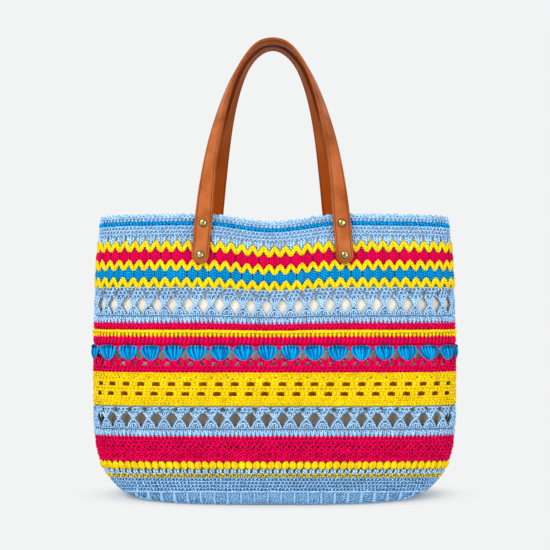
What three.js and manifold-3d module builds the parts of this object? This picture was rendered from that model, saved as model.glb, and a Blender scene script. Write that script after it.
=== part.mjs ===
// A crochet tote bag with two leather handles.
//
// The cloth is worked in the round, so every colour is a ring of its own: a yarn that is hooked into the
// loops of the ring below it. The rings stack from the flat base up to the rim. A cotton lining hangs
// inside from the rim, and each handle is one leather strap with two rivets through the wall at each end.
//
// Millimetres. The origin is at the centre of the base, +Z is up and the front faces -Y.

import * as THREE from 'three';
import { mergeVertices } from 'three/addons/utils/BufferGeometryUtils.js';
import Module from 'manifold-3d';

// Driving dimensions: the body
const bagWidth = 392;
const bagDepth = 120;
const baseWidth = 212;
const baseDepth = 68;
const bellyHeight = 138;
const cornerPower = 3.4;
const rimWidthLoss = 16;
const rimDepthLoss = 4;
const sideRounding = 4;
const faceRounding = 1.5;
const sideDroop = 14;
const rimSideDroop = 0.4;
const rimSag = 8;
const rimSagReach = 72;
const rimSagFade = 133;

// Driving dimensions: the cloth
const wall = 3;
const bandGap = 0.5;
const plainColumns = 60;
const zigzagCount = 80;
const zigzagSwing = 2.35;
const clusterBulge = 1.2;
const diamondCount = 56;
const puffCount = 38;
const puffBulge = 2.4;
const rowBulge = 0.8;

// Height of each band along the front wall, from the base up to the rim
const bandHeights = {
  ribbed_base: 17.2,
  light_blue_hem: 16.2,
  yellow_dotted_line: 4.7,
  light_blue_post_row: 3.9,
  yellow_puff_row: 9.2,
  pink_mesh_band: 25.7,
  light_blue_diamond_band_lower: 32.4,
  yellow_slit_band: 34.1,
  pink_lace_band: 13,
  bright_blue_puff_band: 16.6,
  pink_row_band: 8.2,
  yellow_stripe: 6.1,
  pink_stripe: 7.5,
  light_blue_diamond_band_upper: 38.9,
  yellow_zigzag_3: 5.5,
  bright_blue_cluster_band: 12.2,
  yellow_zigzag_2: 5.5,
  pink_cluster_band: 14,
  yellow_zigzag_1: 5.5,
  light_blue_top_band: 17.3,
  bright_blue_stripe: 5.4,
  rim_edge: 7.2,
};

// Openings of the two diamond bands, measured from the bottom of the band
const diamondWidth = 9.2;
const upperDiamondFoot = 8.3;
const upperDiamondHeight = 16.1;
const upperDiamondWidest = 7.7;
const lowerDiamondFoot = 10.2;
const lowerDiamondHeight = 14;
const lowerDiamondWidest = 7.6;

// Driving dimensions: the lining
const liningThickness = 1;
const liningSeat = 0.5;
const liningDrop = 2;
const liningBelly = 20;
const liningColumns = plainColumns;

// Driving dimensions: the handles
const strapWidth = 18;
const strapThickness = 3.6;
const strapSeat = 0.3;
const handleOffset = -2.1;
const footSpacing = 141;
const footLean = 0.09;
const handleRise = 203;
const legStiffness = 138;
const crownStiffness = 35;
const crownGap = 0.6;
const strapTwist = Math.PI / 2;
const twistEarly = 1.3;
const strapEdge = 0.7;

// Driving dimensions: the rivets and the leather patches behind them
const rivetDrop = 10;
const rivetPitch = 32.5;
const strapTail = 9.5;
const capDiameter = 8;
const capHeight = 2.2;
const postDiameter = 2.8;
const holeClearance = 0.25;
const patchWidth = 24;
const patchMargin = 10;
const patchThickness = 1.6;
const patchCorner = 6;
const patchSeat = 0.5;
const backCapHeight = 1.8;
const socketDepth = 1.2;

// Colours and finishes
const lightBlue = new THREE.MeshStandardMaterial({ color: 0x88b4dc, roughness: 0.9, metalness: 0 });
const brightBlue = new THREE.MeshStandardMaterial({ color: 0x0284c8, roughness: 0.85, metalness: 0 });
const pink = new THREE.MeshStandardMaterial({ color: 0xd9074c, roughness: 0.85, metalness: 0 });
const yellow = new THREE.MeshStandardMaterial({ color: 0xf8db0e, roughness: 0.85, metalness: 0 });
const cream = new THREE.MeshStandardMaterial({ color: 0xefeddb, roughness: 0.95, metalness: 0 });
const tanLeather = new THREE.MeshStandardMaterial({ color: 0xcb733f, roughness: 0.5, metalness: 0 });
const brass = new THREE.MeshStandardMaterial({ color: 0x8a6a3a, roughness: 0.35, metalness: 1 });

// Where each band starts and ends, stacked from the base
const bandNames = Object.keys(bandHeights);
const bandFoot = {};
let stacked = 0;
for (const name of bandNames) {
  bandFoot[name] = stacked;
  stacked += bandHeights[name];
}
const rimHeight = stacked;
const bandTop = (name) => bandFoot[name] + bandHeights[name];

// The plan of the bag is a superellipse, a rectangle with generous soft corners. It is tabled by its
// length, so that stitches spaced evenly in turn are spaced evenly along the cloth.
const planSamples = 720;
const planTable = [];
let planLength = 0;
for (let i = 0; i <= planSamples; i += 1) {
  const angle = (i / planSamples) * (Math.PI / 2);
  const across = Math.sin(angle) ** (2 / cornerPower);
  const deep = Math.cos(angle) ** (2 / cornerPower);
  if (i > 0) {
    const last = planTable[i - 1];
    const stepX = ((across - last.across) * bagWidth) / 2;
    const stepY = ((deep - last.deep) * bagDepth) / 2;
    planLength += Math.hypot(stepX, stepY);
  }
  planTable.push({ across, deep, length: planLength });
}
const perimeter = planLength * 4;

// turn runs once round the bag from 0 at the front centre, past the +X side, the back and the -X side
function planAt(turn) {
  const wrapped = ((turn % 1) + 1) % 1;
  const quarter = Math.floor(wrapped * 4);
  const within = wrapped * 4 - quarter;
  const fromFace = quarter % 2 === 0 ? within : 1 - within;
  const wanted = fromFace * planLength;
  let low = 0;
  let high = planSamples;
  while (high - low > 1) {
    const middle = (low + high) >> 1;
    if (planTable[middle].length <= wanted) low = middle;
    else high = middle;
  }
  const start = planTable[low];
  const end = planTable[high];
  const share = (wanted - start.length) / (end.length - start.length);
  const across = start.across + (end.across - start.across) * share;
  const deep = start.deep + (end.deep - start.deep) * share;
  return {
    across: quarter < 2 ? across : -across,
    deep: quarter === 0 || quarter === 3 ? -deep : deep,
  };
}

// Half width and half depth of the bag at a height along the front wall
function halfWidthAt(height) {
  const full = bagWidth / 2;
  if (height >= bellyHeight) {
    return full - (rimWidthLoss / 2) * ((height - bellyHeight) / (rimHeight - bellyHeight)) ** 2;
  }
  const below = Math.min(1, (bellyHeight - height) / bellyHeight);
  return baseWidth / 2 + (full - baseWidth / 2) * Math.sqrt(1 - below ** sideRounding);
}

function halfDepthAt(height) {
  const full = bagDepth / 2;
  if (height >= bellyHeight) {
    return full - (rimDepthLoss / 2) * ((height - bellyHeight) / (rimHeight - bellyHeight)) ** 2;
  }
  const below = Math.min(1, (bellyHeight - height) / bellyHeight);
  return baseDepth / 2 + (full - baseDepth / 2) * Math.sqrt(1 - below ** faceRounding);
}

// The rows hang lower round the two sides than across the front, most of all near the base
function softFloor(value) {
  const softness = 36;
  return (value + Math.sqrt(value * value + softness)) / 2;
}

function sideHeight(height) {
  const fade = Math.max(0, 1 - height / (0.8 * rimHeight)) ** 1.2;
  const droop = rimSideDroop + sideDroop * fade;
  const lowest = rimSideDroop + sideDroop;
  return softFloor(height - droop) - softFloor(-lowest);
}

// Between the feet of a handle the rim sags in a shallow curve, which dies out further down
function sagAt(x, height) {
  const reach = Math.abs(x - handleOffset) / rimSagReach;
  if (reach >= 1) return 0;
  const fade = Math.max(0, 1 - (rimHeight - height) / rimSagFade);
  return rimSag * fade * 0.5 * (1 + Math.cos(Math.PI * reach));
}

function middleOfCloth(turn, height) {
  const { across, deep } = planAt(turn);
  const x = halfWidthAt(height) * across;
  const y = halfDepthAt(height) * deep;
  const sideShare = 1 - Math.abs(deep);
  const z = height + (sideHeight(height) - height) * sideShare - sagAt(x, height);
  return new THREE.Vector3(x, y, z);
}

// A point that stands proud of the middle of the cloth, by a distance along the cloth's own normal
function clothPoint(turn, height, proud) {
  const turnStep = 1e-3;
  const heightStep = 0.4;
  const lowest = Math.max(height - heightStep, 0);
  const along = middleOfCloth(turn + turnStep, height).sub(middleOfCloth(turn - turnStep, height));
  const up = middleOfCloth(turn, height + heightStep).sub(middleOfCloth(turn, lowest));
  const normal = along.cross(up).normalize();
  return middleOfCloth(turn, height).addScaledVector(normal, proud);
}

// A closed skin, gathered loop by loop. Strips and fans face the right way when loops are given from
// the outside bottom, up, over the top, and down the inside.
class Skin {
  constructor() {
    this.points = [];
    this.faces = [];
  }

  point(place) {
    this.points.push(place.x, place.y, place.z);
    return this.points.length / 3 - 1;
  }

  loop(count, placeAt) {
    const ids = [];
    for (let i = 0; i < count; i += 1) ids.push(this.point(placeAt(i / count, i)));
    return ids;
  }

  strip(lower, upper) {
    let i = 0;
    let j = 0;
    while (i < lower.length || j < upper.length) {
      const nextLower = i < lower.length ? (i + 1) / lower.length : Infinity;
      const nextUpper = j < upper.length ? (j + 1) / upper.length : Infinity;
      const tie = nextLower === nextUpper && lower.length >= upper.length;
      const a = lower[i % lower.length];
      const b = upper[j % upper.length];
      if (nextLower < nextUpper || tie) {
        i += 1;
        this.faces.push(a, lower[i % lower.length], b);
      } else {
        j += 1;
        this.faces.push(a, upper[j % upper.length], b);
      }
    }
  }

  fan(loop, apex, facesUp) {
    for (let i = 0; i < loop.length; i += 1) {
      const next = loop[(i + 1) % loop.length];
      if (facesUp) this.faces.push(loop[i], next, apex);
      else this.faces.push(next, loop[i], apex);
    }
  }

  ring(loops) {
    for (let i = 0; i < loops.length; i += 1) this.strip(loops[i], loops[(i + 1) % loops.length]);
  }

  geometry() {
    const geometry = new THREE.BufferGeometry();
    geometry.setAttribute('position', new THREE.Float32BufferAttribute(this.points, 3));
    geometry.setIndex(this.faces);
    geometry.computeVertexNormals();
    return geometry;
  }
}

// +1 at the peaks of a zigzag and -1 at its valleys, with a peak at turn 0 when shift is 0
function zigzag(turn, shift) {
  const phase = (((turn * zigzagCount + shift) % 1) + 1) % 1;
  return Math.abs(4 * phase - 2) - 1;
}

const outerFace = wall / 2;
const innerFace = -wall / 2;

// The outline of one edge of a band: straight, or a zigzag on the outside that is straight inside
function edgeLoops(skin, height, shift) {
  const isZigzag = shift !== undefined;
  const outerColumns = isZigzag ? zigzagCount * 2 : plainColumns;
  const swing = (turn) => (isZigzag ? zigzagSwing * zigzag(turn, shift) : 0);
  return {
    outer: skin.loop(outerColumns, (turn) => clothPoint(turn, height + swing(turn), outerFace)),
    inner: skin.loop(plainColumns, (turn) => clothPoint(turn, height, innerFace)),
  };
}

// A ring of cloth. middle, where given, is a row of swellings half way up its outside.
function bandGeometry(name, { footShift, topShift, middle } = {}) {
  const skin = new Skin();
  const foot = edgeLoops(skin, bandFoot[name] + bandGap / 2, footShift);
  const top = edgeLoops(skin, bandTop(name) - bandGap / 2, topShift);
  const loops = [foot.outer];
  if (middle) {
    const height = (bandFoot[name] + bandTop(name)) / 2;
    const proud = (turn, i) => outerFace + middle.bulgeAt(i);
    loops.push(skin.loop(middle.columns, (turn, i) => clothPoint(turn, height, proud(turn, i))));
  }
  loops.push(top.outer, top.inner, foot.inner);
  skin.ring(loops);
  return skin.geometry();
}

// One row of cells round the bag, each with a diamond opening through the wall
function cutDiamonds(skin, outer, inner, footHeight, height, widest) {
  const half = diamondWidth / 2 / perimeter;
  for (let i = 0; i < diamondCount; i += 1) {
    const next = (i + 1) % diamondCount;
    const turn = (i + 0.5) / diamondCount;
    const corners = [
      [turn - half, footHeight + widest],
      [turn, footHeight],
      [turn + half, footHeight + widest],
      [turn, footHeight + height],
    ];
    const outside = corners.map(([t, h]) => skin.point(clothPoint(t, h, outerFace)));
    const inside = corners.map(([t, h]) => skin.point(clothPoint(t, h, innerFace)));
    const cell = (face, [left, bottom, right, top]) => [
      [face.lower[i], face.lower[next], bottom],
      [face.lower[next], right, bottom],
      [face.lower[next], face.upper[next], right],
      [face.upper[next], top, right],
      [face.upper[next], face.upper[i], top],
      [face.upper[i], left, top],
      [face.upper[i], face.lower[i], left],
      [face.lower[i], bottom, left],
    ];
    for (const [a, b, c] of cell(outer, outside)) skin.faces.push(a, b, c);
    for (const [a, b, c] of cell(inner, inside)) skin.faces.push(a, c, b);
    for (let k = 0; k < corners.length; k += 1) {
      const after = (k + 1) % corners.length;
      skin.faces.push(outside[k], outside[after], inside[after]);
      skin.faces.push(outside[k], inside[after], inside[k]);
    }
  }
}

function diamondBandGeometry(name, { openingFoot, openingHeight, widest, topShift }) {
  const skin = new Skin();
  const foot = bandFoot[name] + bandGap / 2;
  const openingTop = bandFoot[name] + openingFoot + openingHeight;
  const cellTop = topShift === undefined ? bandTop(name) - bandGap / 2 : openingTop + openingFoot / 2;
  const loopAt = (height, proud) => skin.loop(diamondCount, (turn) => clothPoint(turn, height, proud));
  const outer = { lower: loopAt(foot, outerFace), upper: loopAt(cellTop, outerFace) };
  const inner = { lower: loopAt(foot, innerFace), upper: loopAt(cellTop, innerFace) };
  cutDiamonds(skin, outer, inner, bandFoot[name] + openingFoot, openingHeight, widest);
  skin.strip(inner.lower, outer.lower);
  if (topShift === undefined) {
    skin.strip(outer.upper, inner.upper);
  } else {
    const top = edgeLoops(skin, bandTop(name) - bandGap / 2, topShift);
    skin.strip(outer.upper, top.outer);
    skin.strip(top.outer, top.inner);
    skin.strip(top.inner, inner.upper);
  }
  return skin.geometry();
}

// The base is the flat underside with the first rows of the wall. Its underside is truly flat, so the
// cloth's outside comes in to the middle of the cloth where it meets the floor, and stays above it at
// the two ends, where the wall rises slowly.
function baseGeometry() {
  const skin = new Skin();
  const top = bandTop('ribbed_base') - bandGap / 2;
  const heights = [0, top * 0.12, top * 0.45, top];
  const proudAt = (height) => outerFace * Math.min(1, height / (top * 0.45));
  const loopAt = (height, proud) => skin.loop(plainColumns, (turn) => {
    const point = clothPoint(turn, height, proud);
    return point.setZ(Math.max(point.z, 0));
  });
  const outer = heights.map((height) => loopAt(height, proudAt(height)));
  const risen = heights.slice(1).reverse();
  const inner = risen.map((height) => loopAt(height, proudAt(height) - wall));
  const floor = skin.loop(plainColumns, (turn) => middleOfCloth(turn, 0).setZ(wall));
  const loops = [...outer, ...inner, floor];
  for (let i = 0; i + 1 < loops.length; i += 1) skin.strip(loops[i], loops[i + 1]);
  skin.fan(outer[0], skin.point(new THREE.Vector3(0, 0, 0)), false);
  skin.fan(floor, skin.point(new THREE.Vector3(0, 0, wall)), true);
  return skin.geometry();
}

// The lining lies close to the cloth from the rim to below the handle patches, and stands away from it
// lower down
function liningInset(height) {
  const share = Math.min(1, height / liningCloseFrom);
  const belly = Math.sin(Math.PI * share) ** 2;
  const lean = (1 - share) ** 0.6;
  return wall / 2 + liningSeat + liningBelly * belly * lean;
}

function liningGeometry() {
  const skin = new Skin();
  const top = rimHeight - liningDrop;
  const floorInset = 4;
  const shares = [0.05, 0.16, 0.42, 0.78, 1];
  const heights = [...shares.map((share) => share * liningCloseFrom), top];
  const loopAt = (height, inset) => skin.loop(liningColumns, (turn) => clothPoint(turn, height, -inset));
  const floorAt = (z, inset) => skin.loop(liningColumns, (turn) => {
    const place = middleOfCloth(turn, 0);
    const shrink = 1 - inset / (baseDepth / 2);
    return new THREE.Vector3(place.x * shrink, place.y * shrink, z);
  });
  const floorZ = wall + liningSeat;
  const settled = (height) => liningInset(height) + 2 * (1 - Math.min(1, height / (0.16 * liningCloseFrom)));
  const outer = heights.map((height) => loopAt(height, settled(height)));
  const falling = heights.slice().reverse();
  const inner = falling.map((height) => loopAt(height, settled(height) + liningThickness));
  const underside = floorAt(floorZ, floorInset);
  const floor = floorAt(floorZ + liningThickness, floorInset + liningThickness);
  const loops = [underside, ...outer, ...inner, floor];
  for (let i = 0; i + 1 < loops.length; i += 1) skin.strip(loops[i], loops[i + 1]);
  skin.fan(underside, skin.point(new THREE.Vector3(0, 0, floorZ)), false);
  skin.fan(floor, skin.point(new THREE.Vector3(0, 0, floorZ + liningThickness)), true);
  return skin.geometry();
}

// Where the handles are fixed. Each foot is flat against the wall and leans outwards as it goes down.
const upperRivetHeight = rimHeight - rivetDrop;
const lowerRivetHeight = upperRivetHeight - rivetPitch * Math.cos(footLean);
const footOut = rivetPitch * Math.sin(footLean);
const liningCloseFrom = upperRivetHeight - rivetPitch - patchMargin - patchWidth * footLean;
const clothFaceAtFeet = Math.abs(clothPoint(0, lowerRivetHeight, outerFace + clusterBulge).y);
const strapBack = clothFaceAtFeet + strapSeat;
const strapMiddle = strapBack + strapThickness / 2;
const strapFront = strapBack + strapThickness;
const rivets = [];
for (const side of [-1, 1]) {
  const upperX = (side * footSpacing) / 2;
  rivets.push({ side, level: 'upper', x: handleOffset + upperX, z: upperRivetHeight });
  rivets.push({ side, level: 'lower', x: handleOffset + upperX + side * footOut, z: lowerRivetHeight });
}

// One half of the strap's centre line, on the +X side of the front handle, from its lower end to the crown
function handleStations() {
  const down = new THREE.Vector3(Math.sin(footLean), 0, -Math.cos(footLean));
  const fixing = new THREE.Vector3(footSpacing / 2, -strapMiddle, upperRivetHeight);
  const crownY = -(strapWidth + crownGap) / 2;
  const crown = new THREE.Vector3(0, crownY, upperRivetHeight + handleRise);
  const leg = new THREE.CubicBezierCurve3(
    fixing,
    fixing.clone().addScaledVector(down, -legStiffness),
    crown.clone().add(new THREE.Vector3(crownStiffness, 0, 0)),
    crown,
  );
  const stations = [];
  const end = fixing.clone().addScaledVector(down, rivetPitch + strapTail);
  const radius = strapWidth / 2;
  for (const degrees of [20, 45, 70, 90]) {
    const angle = THREE.MathUtils.degToRad(degrees);
    const place = end.clone().addScaledVector(down, -radius * (1 - Math.cos(angle)));
    stations.push({ place, along: 0, width: strapWidth * Math.sin(angle) });
  }
  stations.push({ place: fixing, along: 0, width: strapWidth });
  const steps = 18;
  for (let i = 1; i <= steps; i += 1) {
    stations.push({ place: leg.getPointAt(i / steps), along: i / steps, width: strapWidth });
  }
  return stations;
}

// The strap's section is a flat bar with its four edges bevelled. It lies flat against the wall at its
// feet, and turns on edge towards the crown, so that the two handles meet face up in the hand.
function handleGeometry() {
  const half = handleStations();
  const mirrored = half.slice(0, -1).reverse();
  const all = [
    ...half,
    ...mirrored.map((station) => ({ ...station, place: station.place.clone().setX(-station.place.x) })),
  ];
  const skin = new Skin();
  const section = [];
  const forward = new THREE.Vector3(0, -1, 0);
  for (let i = 0; i < all.length; i += 1) {
    const before = all[Math.max(0, i - 1)].place;
    const after = all[Math.min(all.length - 1, i + 1)].place;
    const tangent = after.clone().sub(before).normalize();
    const facing = forward.clone().addScaledVector(tangent, -forward.dot(tangent)).normalize();
    const inward = facing.clone().cross(tangent);
    const { along, width, place } = all[i];
    const turned = (strapTwist * (1 - Math.exp(-twistEarly * along))) / (1 - Math.exp(-twistEarly));
    const acrossStrap = inward.multiplyScalar(Math.cos(turned)).addScaledVector(facing, Math.sin(turned));
    const outOfStrap = tangent.clone().cross(acrossStrap);
    const x = width / 2;
    const y = strapThickness / 2;
    const bevel = Math.min(strapEdge, width / 4);
    const outline = [
      [x, -y + bevel], [x, y - bevel], [x - bevel, y], [-x + bevel, y],
      [-x, y - bevel], [-x, -y + bevel], [-x + bevel, -y], [x - bevel, -y],
    ];
    section.push(outline.map(([u, w]) => {
      const corner = place.clone().addScaledVector(acrossStrap, u).addScaledVector(outOfStrap, w);
      return skin.point(corner.setX(corner.x + handleOffset));
    }));
  }
  for (let i = 0; i + 1 < section.length; i += 1) skin.strip(section[i], section[i + 1]);
  const ends = [section[0], section[section.length - 1]];
  for (let k = 1; k + 1 < ends[0].length; k += 1) {
    skin.faces.push(ends[0][0], ends[0][k + 1], ends[0][k]);
    skin.faces.push(ends[1][0], ends[1][k], ends[1][k + 1]);
  }
  return skin.geometry();
}

// Booleans: a hole for each rivet's post through whatever the rivet holds together
const wasm = await Module();
wasm.setup();

function asSolid(geometry) {
  const bare = new THREE.BufferGeometry();
  bare.setAttribute('position', geometry.getAttribute('position').clone());
  if (geometry.index) bare.setIndex(geometry.index.clone());
  const merged = mergeVertices(bare, 1e-4);
  return new wasm.Manifold(new wasm.Mesh({
    numProp: 3,
    vertProperties: new Float32Array(merged.getAttribute('position').array),
    triVerts: new Uint32Array(merged.index.array),
  }));
}

function asGeometry(solid) {
  const mesh = solid.getMesh();
  const geometry = new THREE.BufferGeometry();
  geometry.setAttribute('position', new THREE.BufferAttribute(mesh.vertProperties, 3));
  geometry.setIndex(new THREE.BufferAttribute(mesh.triVerts, 1));
  geometry.computeVertexNormals();
  return geometry;
}

const holeSides = 8;

function drill(geometry, holes, faces = [-1, 1]) {
  let solid = asSolid(geometry);
  const radius = postDiameter / 2 + holeClearance;
  const reach = bagDepth / 2;
  for (const { x, z } of holes) {
    for (const face of faces) {
      const bit = new THREE.CylinderGeometry(radius, radius, reach, holeSides);
      bit.translate(x, face * (bagDepth / 2 + strapThickness), z);
      solid = solid.subtract(asSolid(bit));
    }
  }
  return asGeometry(solid);
}

// A rivet's cap with its post, turned about the post's own axis, with the cap's underside at 0
const rivetSides = 8;
const patchReach = footSpacing / 2 + Math.abs(handleOffset) + footOut + patchWidth / 2;
const patchTurn = (patchReach + patchMargin * footLean) / perimeter;
const liningFaceAt = (height) => {
  const inset = liningInset(height) + liningThickness + patchSeat;
  return Math.abs(clothPoint(patchTurn, height, -inset).y);
};
const patchTop = patchMargin * 0.6;
const patchFront = Math.min(liningFaceAt(liningCloseFrom), liningFaceAt(upperRivetHeight + patchTop));
const patchBack = patchFront - patchThickness;
const backCapSeat = patchBack - strapSeat;
const postLength = strapFront + strapSeat - backCapSeat + socketDepth - strapSeat;

function rivetCapGeometry() {
  const radius = capDiameter / 2;
  const points = [
    new THREE.Vector2(0, -postLength),
    new THREE.Vector2(postDiameter / 2, -postLength),
    new THREE.Vector2(postDiameter / 2, 0),
    new THREE.Vector2(radius, 0),
    new THREE.Vector2(radius, capHeight * 0.25),
    new THREE.Vector2(radius * 0.72, capHeight * 0.75),
    new THREE.Vector2(0, capHeight),
  ];
  return new THREE.LatheGeometry(points, rivetSides);
}

function rivetBackGeometry() {
  const radius = capDiameter / 2;
  const socket = postDiameter / 2 + holeClearance;
  const points = [
    new THREE.Vector2(0, -backCapHeight),
    new THREE.Vector2(radius * 0.8, -backCapHeight),
    new THREE.Vector2(radius, -backCapHeight * 0.4),
    new THREE.Vector2(radius, 0),
    new THREE.Vector2(socket, 0),
    new THREE.Vector2(socket, -socketDepth - holeClearance / 2),
    new THREE.Vector2(0, -socketDepth - holeClearance / 2),
  ];
  return new THREE.LatheGeometry(points, rivetSides);
}

// A leather patch inside the bag, behind one pair of rivets, drawn upright about its upper rivet
function patchGeometry() {
  const outline = new THREE.Shape();
  const right = patchWidth / 2;
  const top = patchTop;
  const bottom = -rivetPitch - patchMargin;
  outline.moveTo(-right + patchCorner, top);
  outline.lineTo(right - patchCorner, top);
  outline.absarc(right - patchCorner, top - patchCorner, patchCorner, Math.PI / 2, 0, true);
  outline.lineTo(right, bottom + patchCorner);
  outline.absarc(right - patchCorner, bottom + patchCorner, patchCorner, 0, -Math.PI / 2, true);
  outline.lineTo(-right + patchCorner, bottom);
  outline.absarc(-right + patchCorner, bottom + patchCorner, patchCorner, -Math.PI / 2, -Math.PI, true);
  outline.lineTo(-right, top - patchCorner);
  outline.absarc(-right + patchCorner, top - patchCorner, patchCorner, Math.PI, Math.PI / 2, true);
  for (const y of [0, -rivetPitch]) {
    const hole = new THREE.Path();
    hole.absarc(0, y, postDiameter / 2 + holeClearance, 0, Math.PI * 2, false);
    outline.holes.push(hole);
  }
  return new THREE.ExtrudeGeometry(outline, { depth: patchThickness, bevelEnabled: false, curveSegments: 3 });
}

const bag = new THREE.Group();

function addPiece(name, geometry, material, parent = bag) {
  const mesh = new THREE.Mesh(geometry, material);
  mesh.name = name;
  parent.add(mesh);
  return mesh;
}

// The crochet, from the base up
const everyOther = (bulge, first) => (i) => (i % 2 === first ? bulge : 0);
const swollenRow = { columns: plainColumns, bulgeAt: () => rowBulge };
const peaksOut = { columns: zigzagCount * 2, bulgeAt: everyOther(clusterBulge, 0) };
const valleysOut = { columns: zigzagCount * 2, bulgeAt: everyOther(clusterBulge, 1) };
const puffsOut = { columns: puffCount * 2, bulgeAt: everyOther(puffBulge, 0) };

addPiece('ribbed_base', baseGeometry(), lightBlue);
addPiece('light_blue_hem', bandGeometry('light_blue_hem'), lightBlue);
addPiece('yellow_dotted_line', bandGeometry('yellow_dotted_line'), yellow);
addPiece('light_blue_post_row', bandGeometry('light_blue_post_row'), lightBlue);
addPiece('yellow_puff_row', bandGeometry('yellow_puff_row', { middle: swollenRow }), yellow);
addPiece('pink_mesh_band', bandGeometry('pink_mesh_band'), pink);
addPiece('light_blue_diamond_band_lower', diamondBandGeometry('light_blue_diamond_band_lower', {
  openingFoot: lowerDiamondFoot,
  openingHeight: lowerDiamondHeight,
  widest: lowerDiamondWidest,
}), lightBlue);
addPiece('yellow_slit_band', bandGeometry('yellow_slit_band'), yellow);
addPiece('pink_lace_band', bandGeometry('pink_lace_band'), pink);
addPiece('bright_blue_puff_band', bandGeometry('bright_blue_puff_band', { middle: puffsOut }), brightBlue);
addPiece('pink_row_band', bandGeometry('pink_row_band'), pink);
addPiece('yellow_stripe', bandGeometry('yellow_stripe'), yellow);
addPiece('pink_stripe', bandGeometry('pink_stripe'), pink);
addPiece('light_blue_diamond_band_upper', diamondBandGeometry('light_blue_diamond_band_upper', {
  openingFoot: upperDiamondFoot,
  openingHeight: upperDiamondHeight,
  widest: upperDiamondWidest,
  topShift: 0,
}), lightBlue);
addPiece('yellow_zigzag_3', bandGeometry('yellow_zigzag_3', { footShift: 0, topShift: 0 }), yellow);
addPiece('bright_blue_cluster_band', bandGeometry('bright_blue_cluster_band', {
  footShift: 0,
  topShift: 0.5,
  middle: valleysOut,
}), brightBlue);
addPiece('yellow_zigzag_2', bandGeometry('yellow_zigzag_2', { footShift: 0.5, topShift: 0.5 }), yellow);
const pinkClusters = bandGeometry('pink_cluster_band', { footShift: 0.5, topShift: 0, middle: peaksOut });
const lowerRivets = rivets.filter((rivet) => rivet.level === 'lower');
const upperRivets = rivets.filter((rivet) => rivet.level === 'upper');
addPiece('pink_cluster_band', drill(pinkClusters, lowerRivets), pink);
addPiece('yellow_zigzag_1', bandGeometry('yellow_zigzag_1', { footShift: 0, topShift: 0 }), yellow);
addPiece('light_blue_top_band', bandGeometry('light_blue_top_band', { footShift: 0 }), lightBlue);
addPiece('bright_blue_stripe', drill(bandGeometry('bright_blue_stripe'), upperRivets), brightBlue);
addPiece('rim_edge', bandGeometry('rim_edge'), lightBlue);

// The lining and the handles
addPiece('lining', drill(liningGeometry(), rivets), cream);
const handle = drill(handleGeometry(), rivets, [-1]);
for (const [name, turned] of [['handle_front', false], ['handle_rear', true]]) {
  const piece = handle.clone();
  if (turned) {
    piece.scale(1, -1, 1);
    const index = piece.index.array;
    for (let i = 0; i < index.length; i += 3) [index[i], index[i + 1]] = [index[i + 1], index[i]];
  }
  addPiece(name, piece, tanLeather);
}

// Rivets and patches on both walls
for (const face of ['front', 'rear']) {
  const outwards = face === 'front' ? -1 : 1;
  for (const { side, level, x, z } of rivets) {
    const hand = side < 0 ? 'left' : 'right';
    const cap = addPiece(`rivet_${face}_${hand}_${level}`, rivetCapGeometry(), brass);
    const back = addPiece(`rivet_back_${face}_${hand}_${level}`, rivetBackGeometry(), brass);
    cap.position.set(x, outwards * (strapFront + strapSeat), z);
    back.position.set(x, outwards * backCapSeat, z);
    cap.rotation.x = outwards < 0 ? Math.PI : 0;
    back.rotation.x = outwards < 0 ? Math.PI : 0;
  }
  for (const side of [-1, 1]) {
    const hand = side < 0 ? 'left' : 'right';
    const patch = addPiece(`patch_${face}_${hand}`, patchGeometry(), tanLeather);
    const depth = outwards < 0 ? -patchBack : patchFront;
    patch.position.set(handleOffset + (side * footSpacing) / 2, depth, upperRivetHeight);
    patch.rotation.set(Math.PI / 2, 0, side * footLean);
  }
}

export default bag;
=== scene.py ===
# %% [markdown]
# A crochet tote bag, dressed in yarn
#
# The bag is worked in the round from cotton yarn in four colours. The solids hold one plain ring for each
# band of colour. This script replaces each ring by the stitches it is really made of: short lengths of
# yarn that bend over the same curved wall. The straps, rivets and lining get their own finer shapes.

# %% Load the frame
import math

import bpy
import numpy as np
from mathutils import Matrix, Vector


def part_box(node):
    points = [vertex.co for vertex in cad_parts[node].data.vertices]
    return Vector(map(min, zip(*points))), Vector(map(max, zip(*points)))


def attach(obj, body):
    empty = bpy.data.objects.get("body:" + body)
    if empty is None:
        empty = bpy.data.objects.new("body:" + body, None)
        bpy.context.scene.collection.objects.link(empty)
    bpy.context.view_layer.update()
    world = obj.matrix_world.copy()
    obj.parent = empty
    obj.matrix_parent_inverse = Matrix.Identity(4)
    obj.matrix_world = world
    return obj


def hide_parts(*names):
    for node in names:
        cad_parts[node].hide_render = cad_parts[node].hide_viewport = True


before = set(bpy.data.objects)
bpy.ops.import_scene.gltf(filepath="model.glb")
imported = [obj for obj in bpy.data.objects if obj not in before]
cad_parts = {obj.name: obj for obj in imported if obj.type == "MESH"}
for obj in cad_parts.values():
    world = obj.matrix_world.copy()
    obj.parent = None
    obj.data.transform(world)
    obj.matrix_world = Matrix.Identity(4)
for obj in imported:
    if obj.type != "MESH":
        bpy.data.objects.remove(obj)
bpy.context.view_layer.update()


# %% [markdown]
# The camera stands level with the middle of the whole bag, close enough that the rear strap looks smaller
# than the front one. Its lens gives the photograph's framing.

# %% Camera
MM = 0.001
CAMERA_PLACE = (0.44 * MM, -760 * MM, 243.5 * MM)
SENSOR_MM = 36.0
FRAME_PIXELS = 550
LENS_PIXELS = 684


def add_object(name, data):
    """Makes an object from its data and puts it in the scene."""
    made = bpy.data.objects.new(name, data)
    bpy.context.scene.collection.objects.link(made)
    return made


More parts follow.
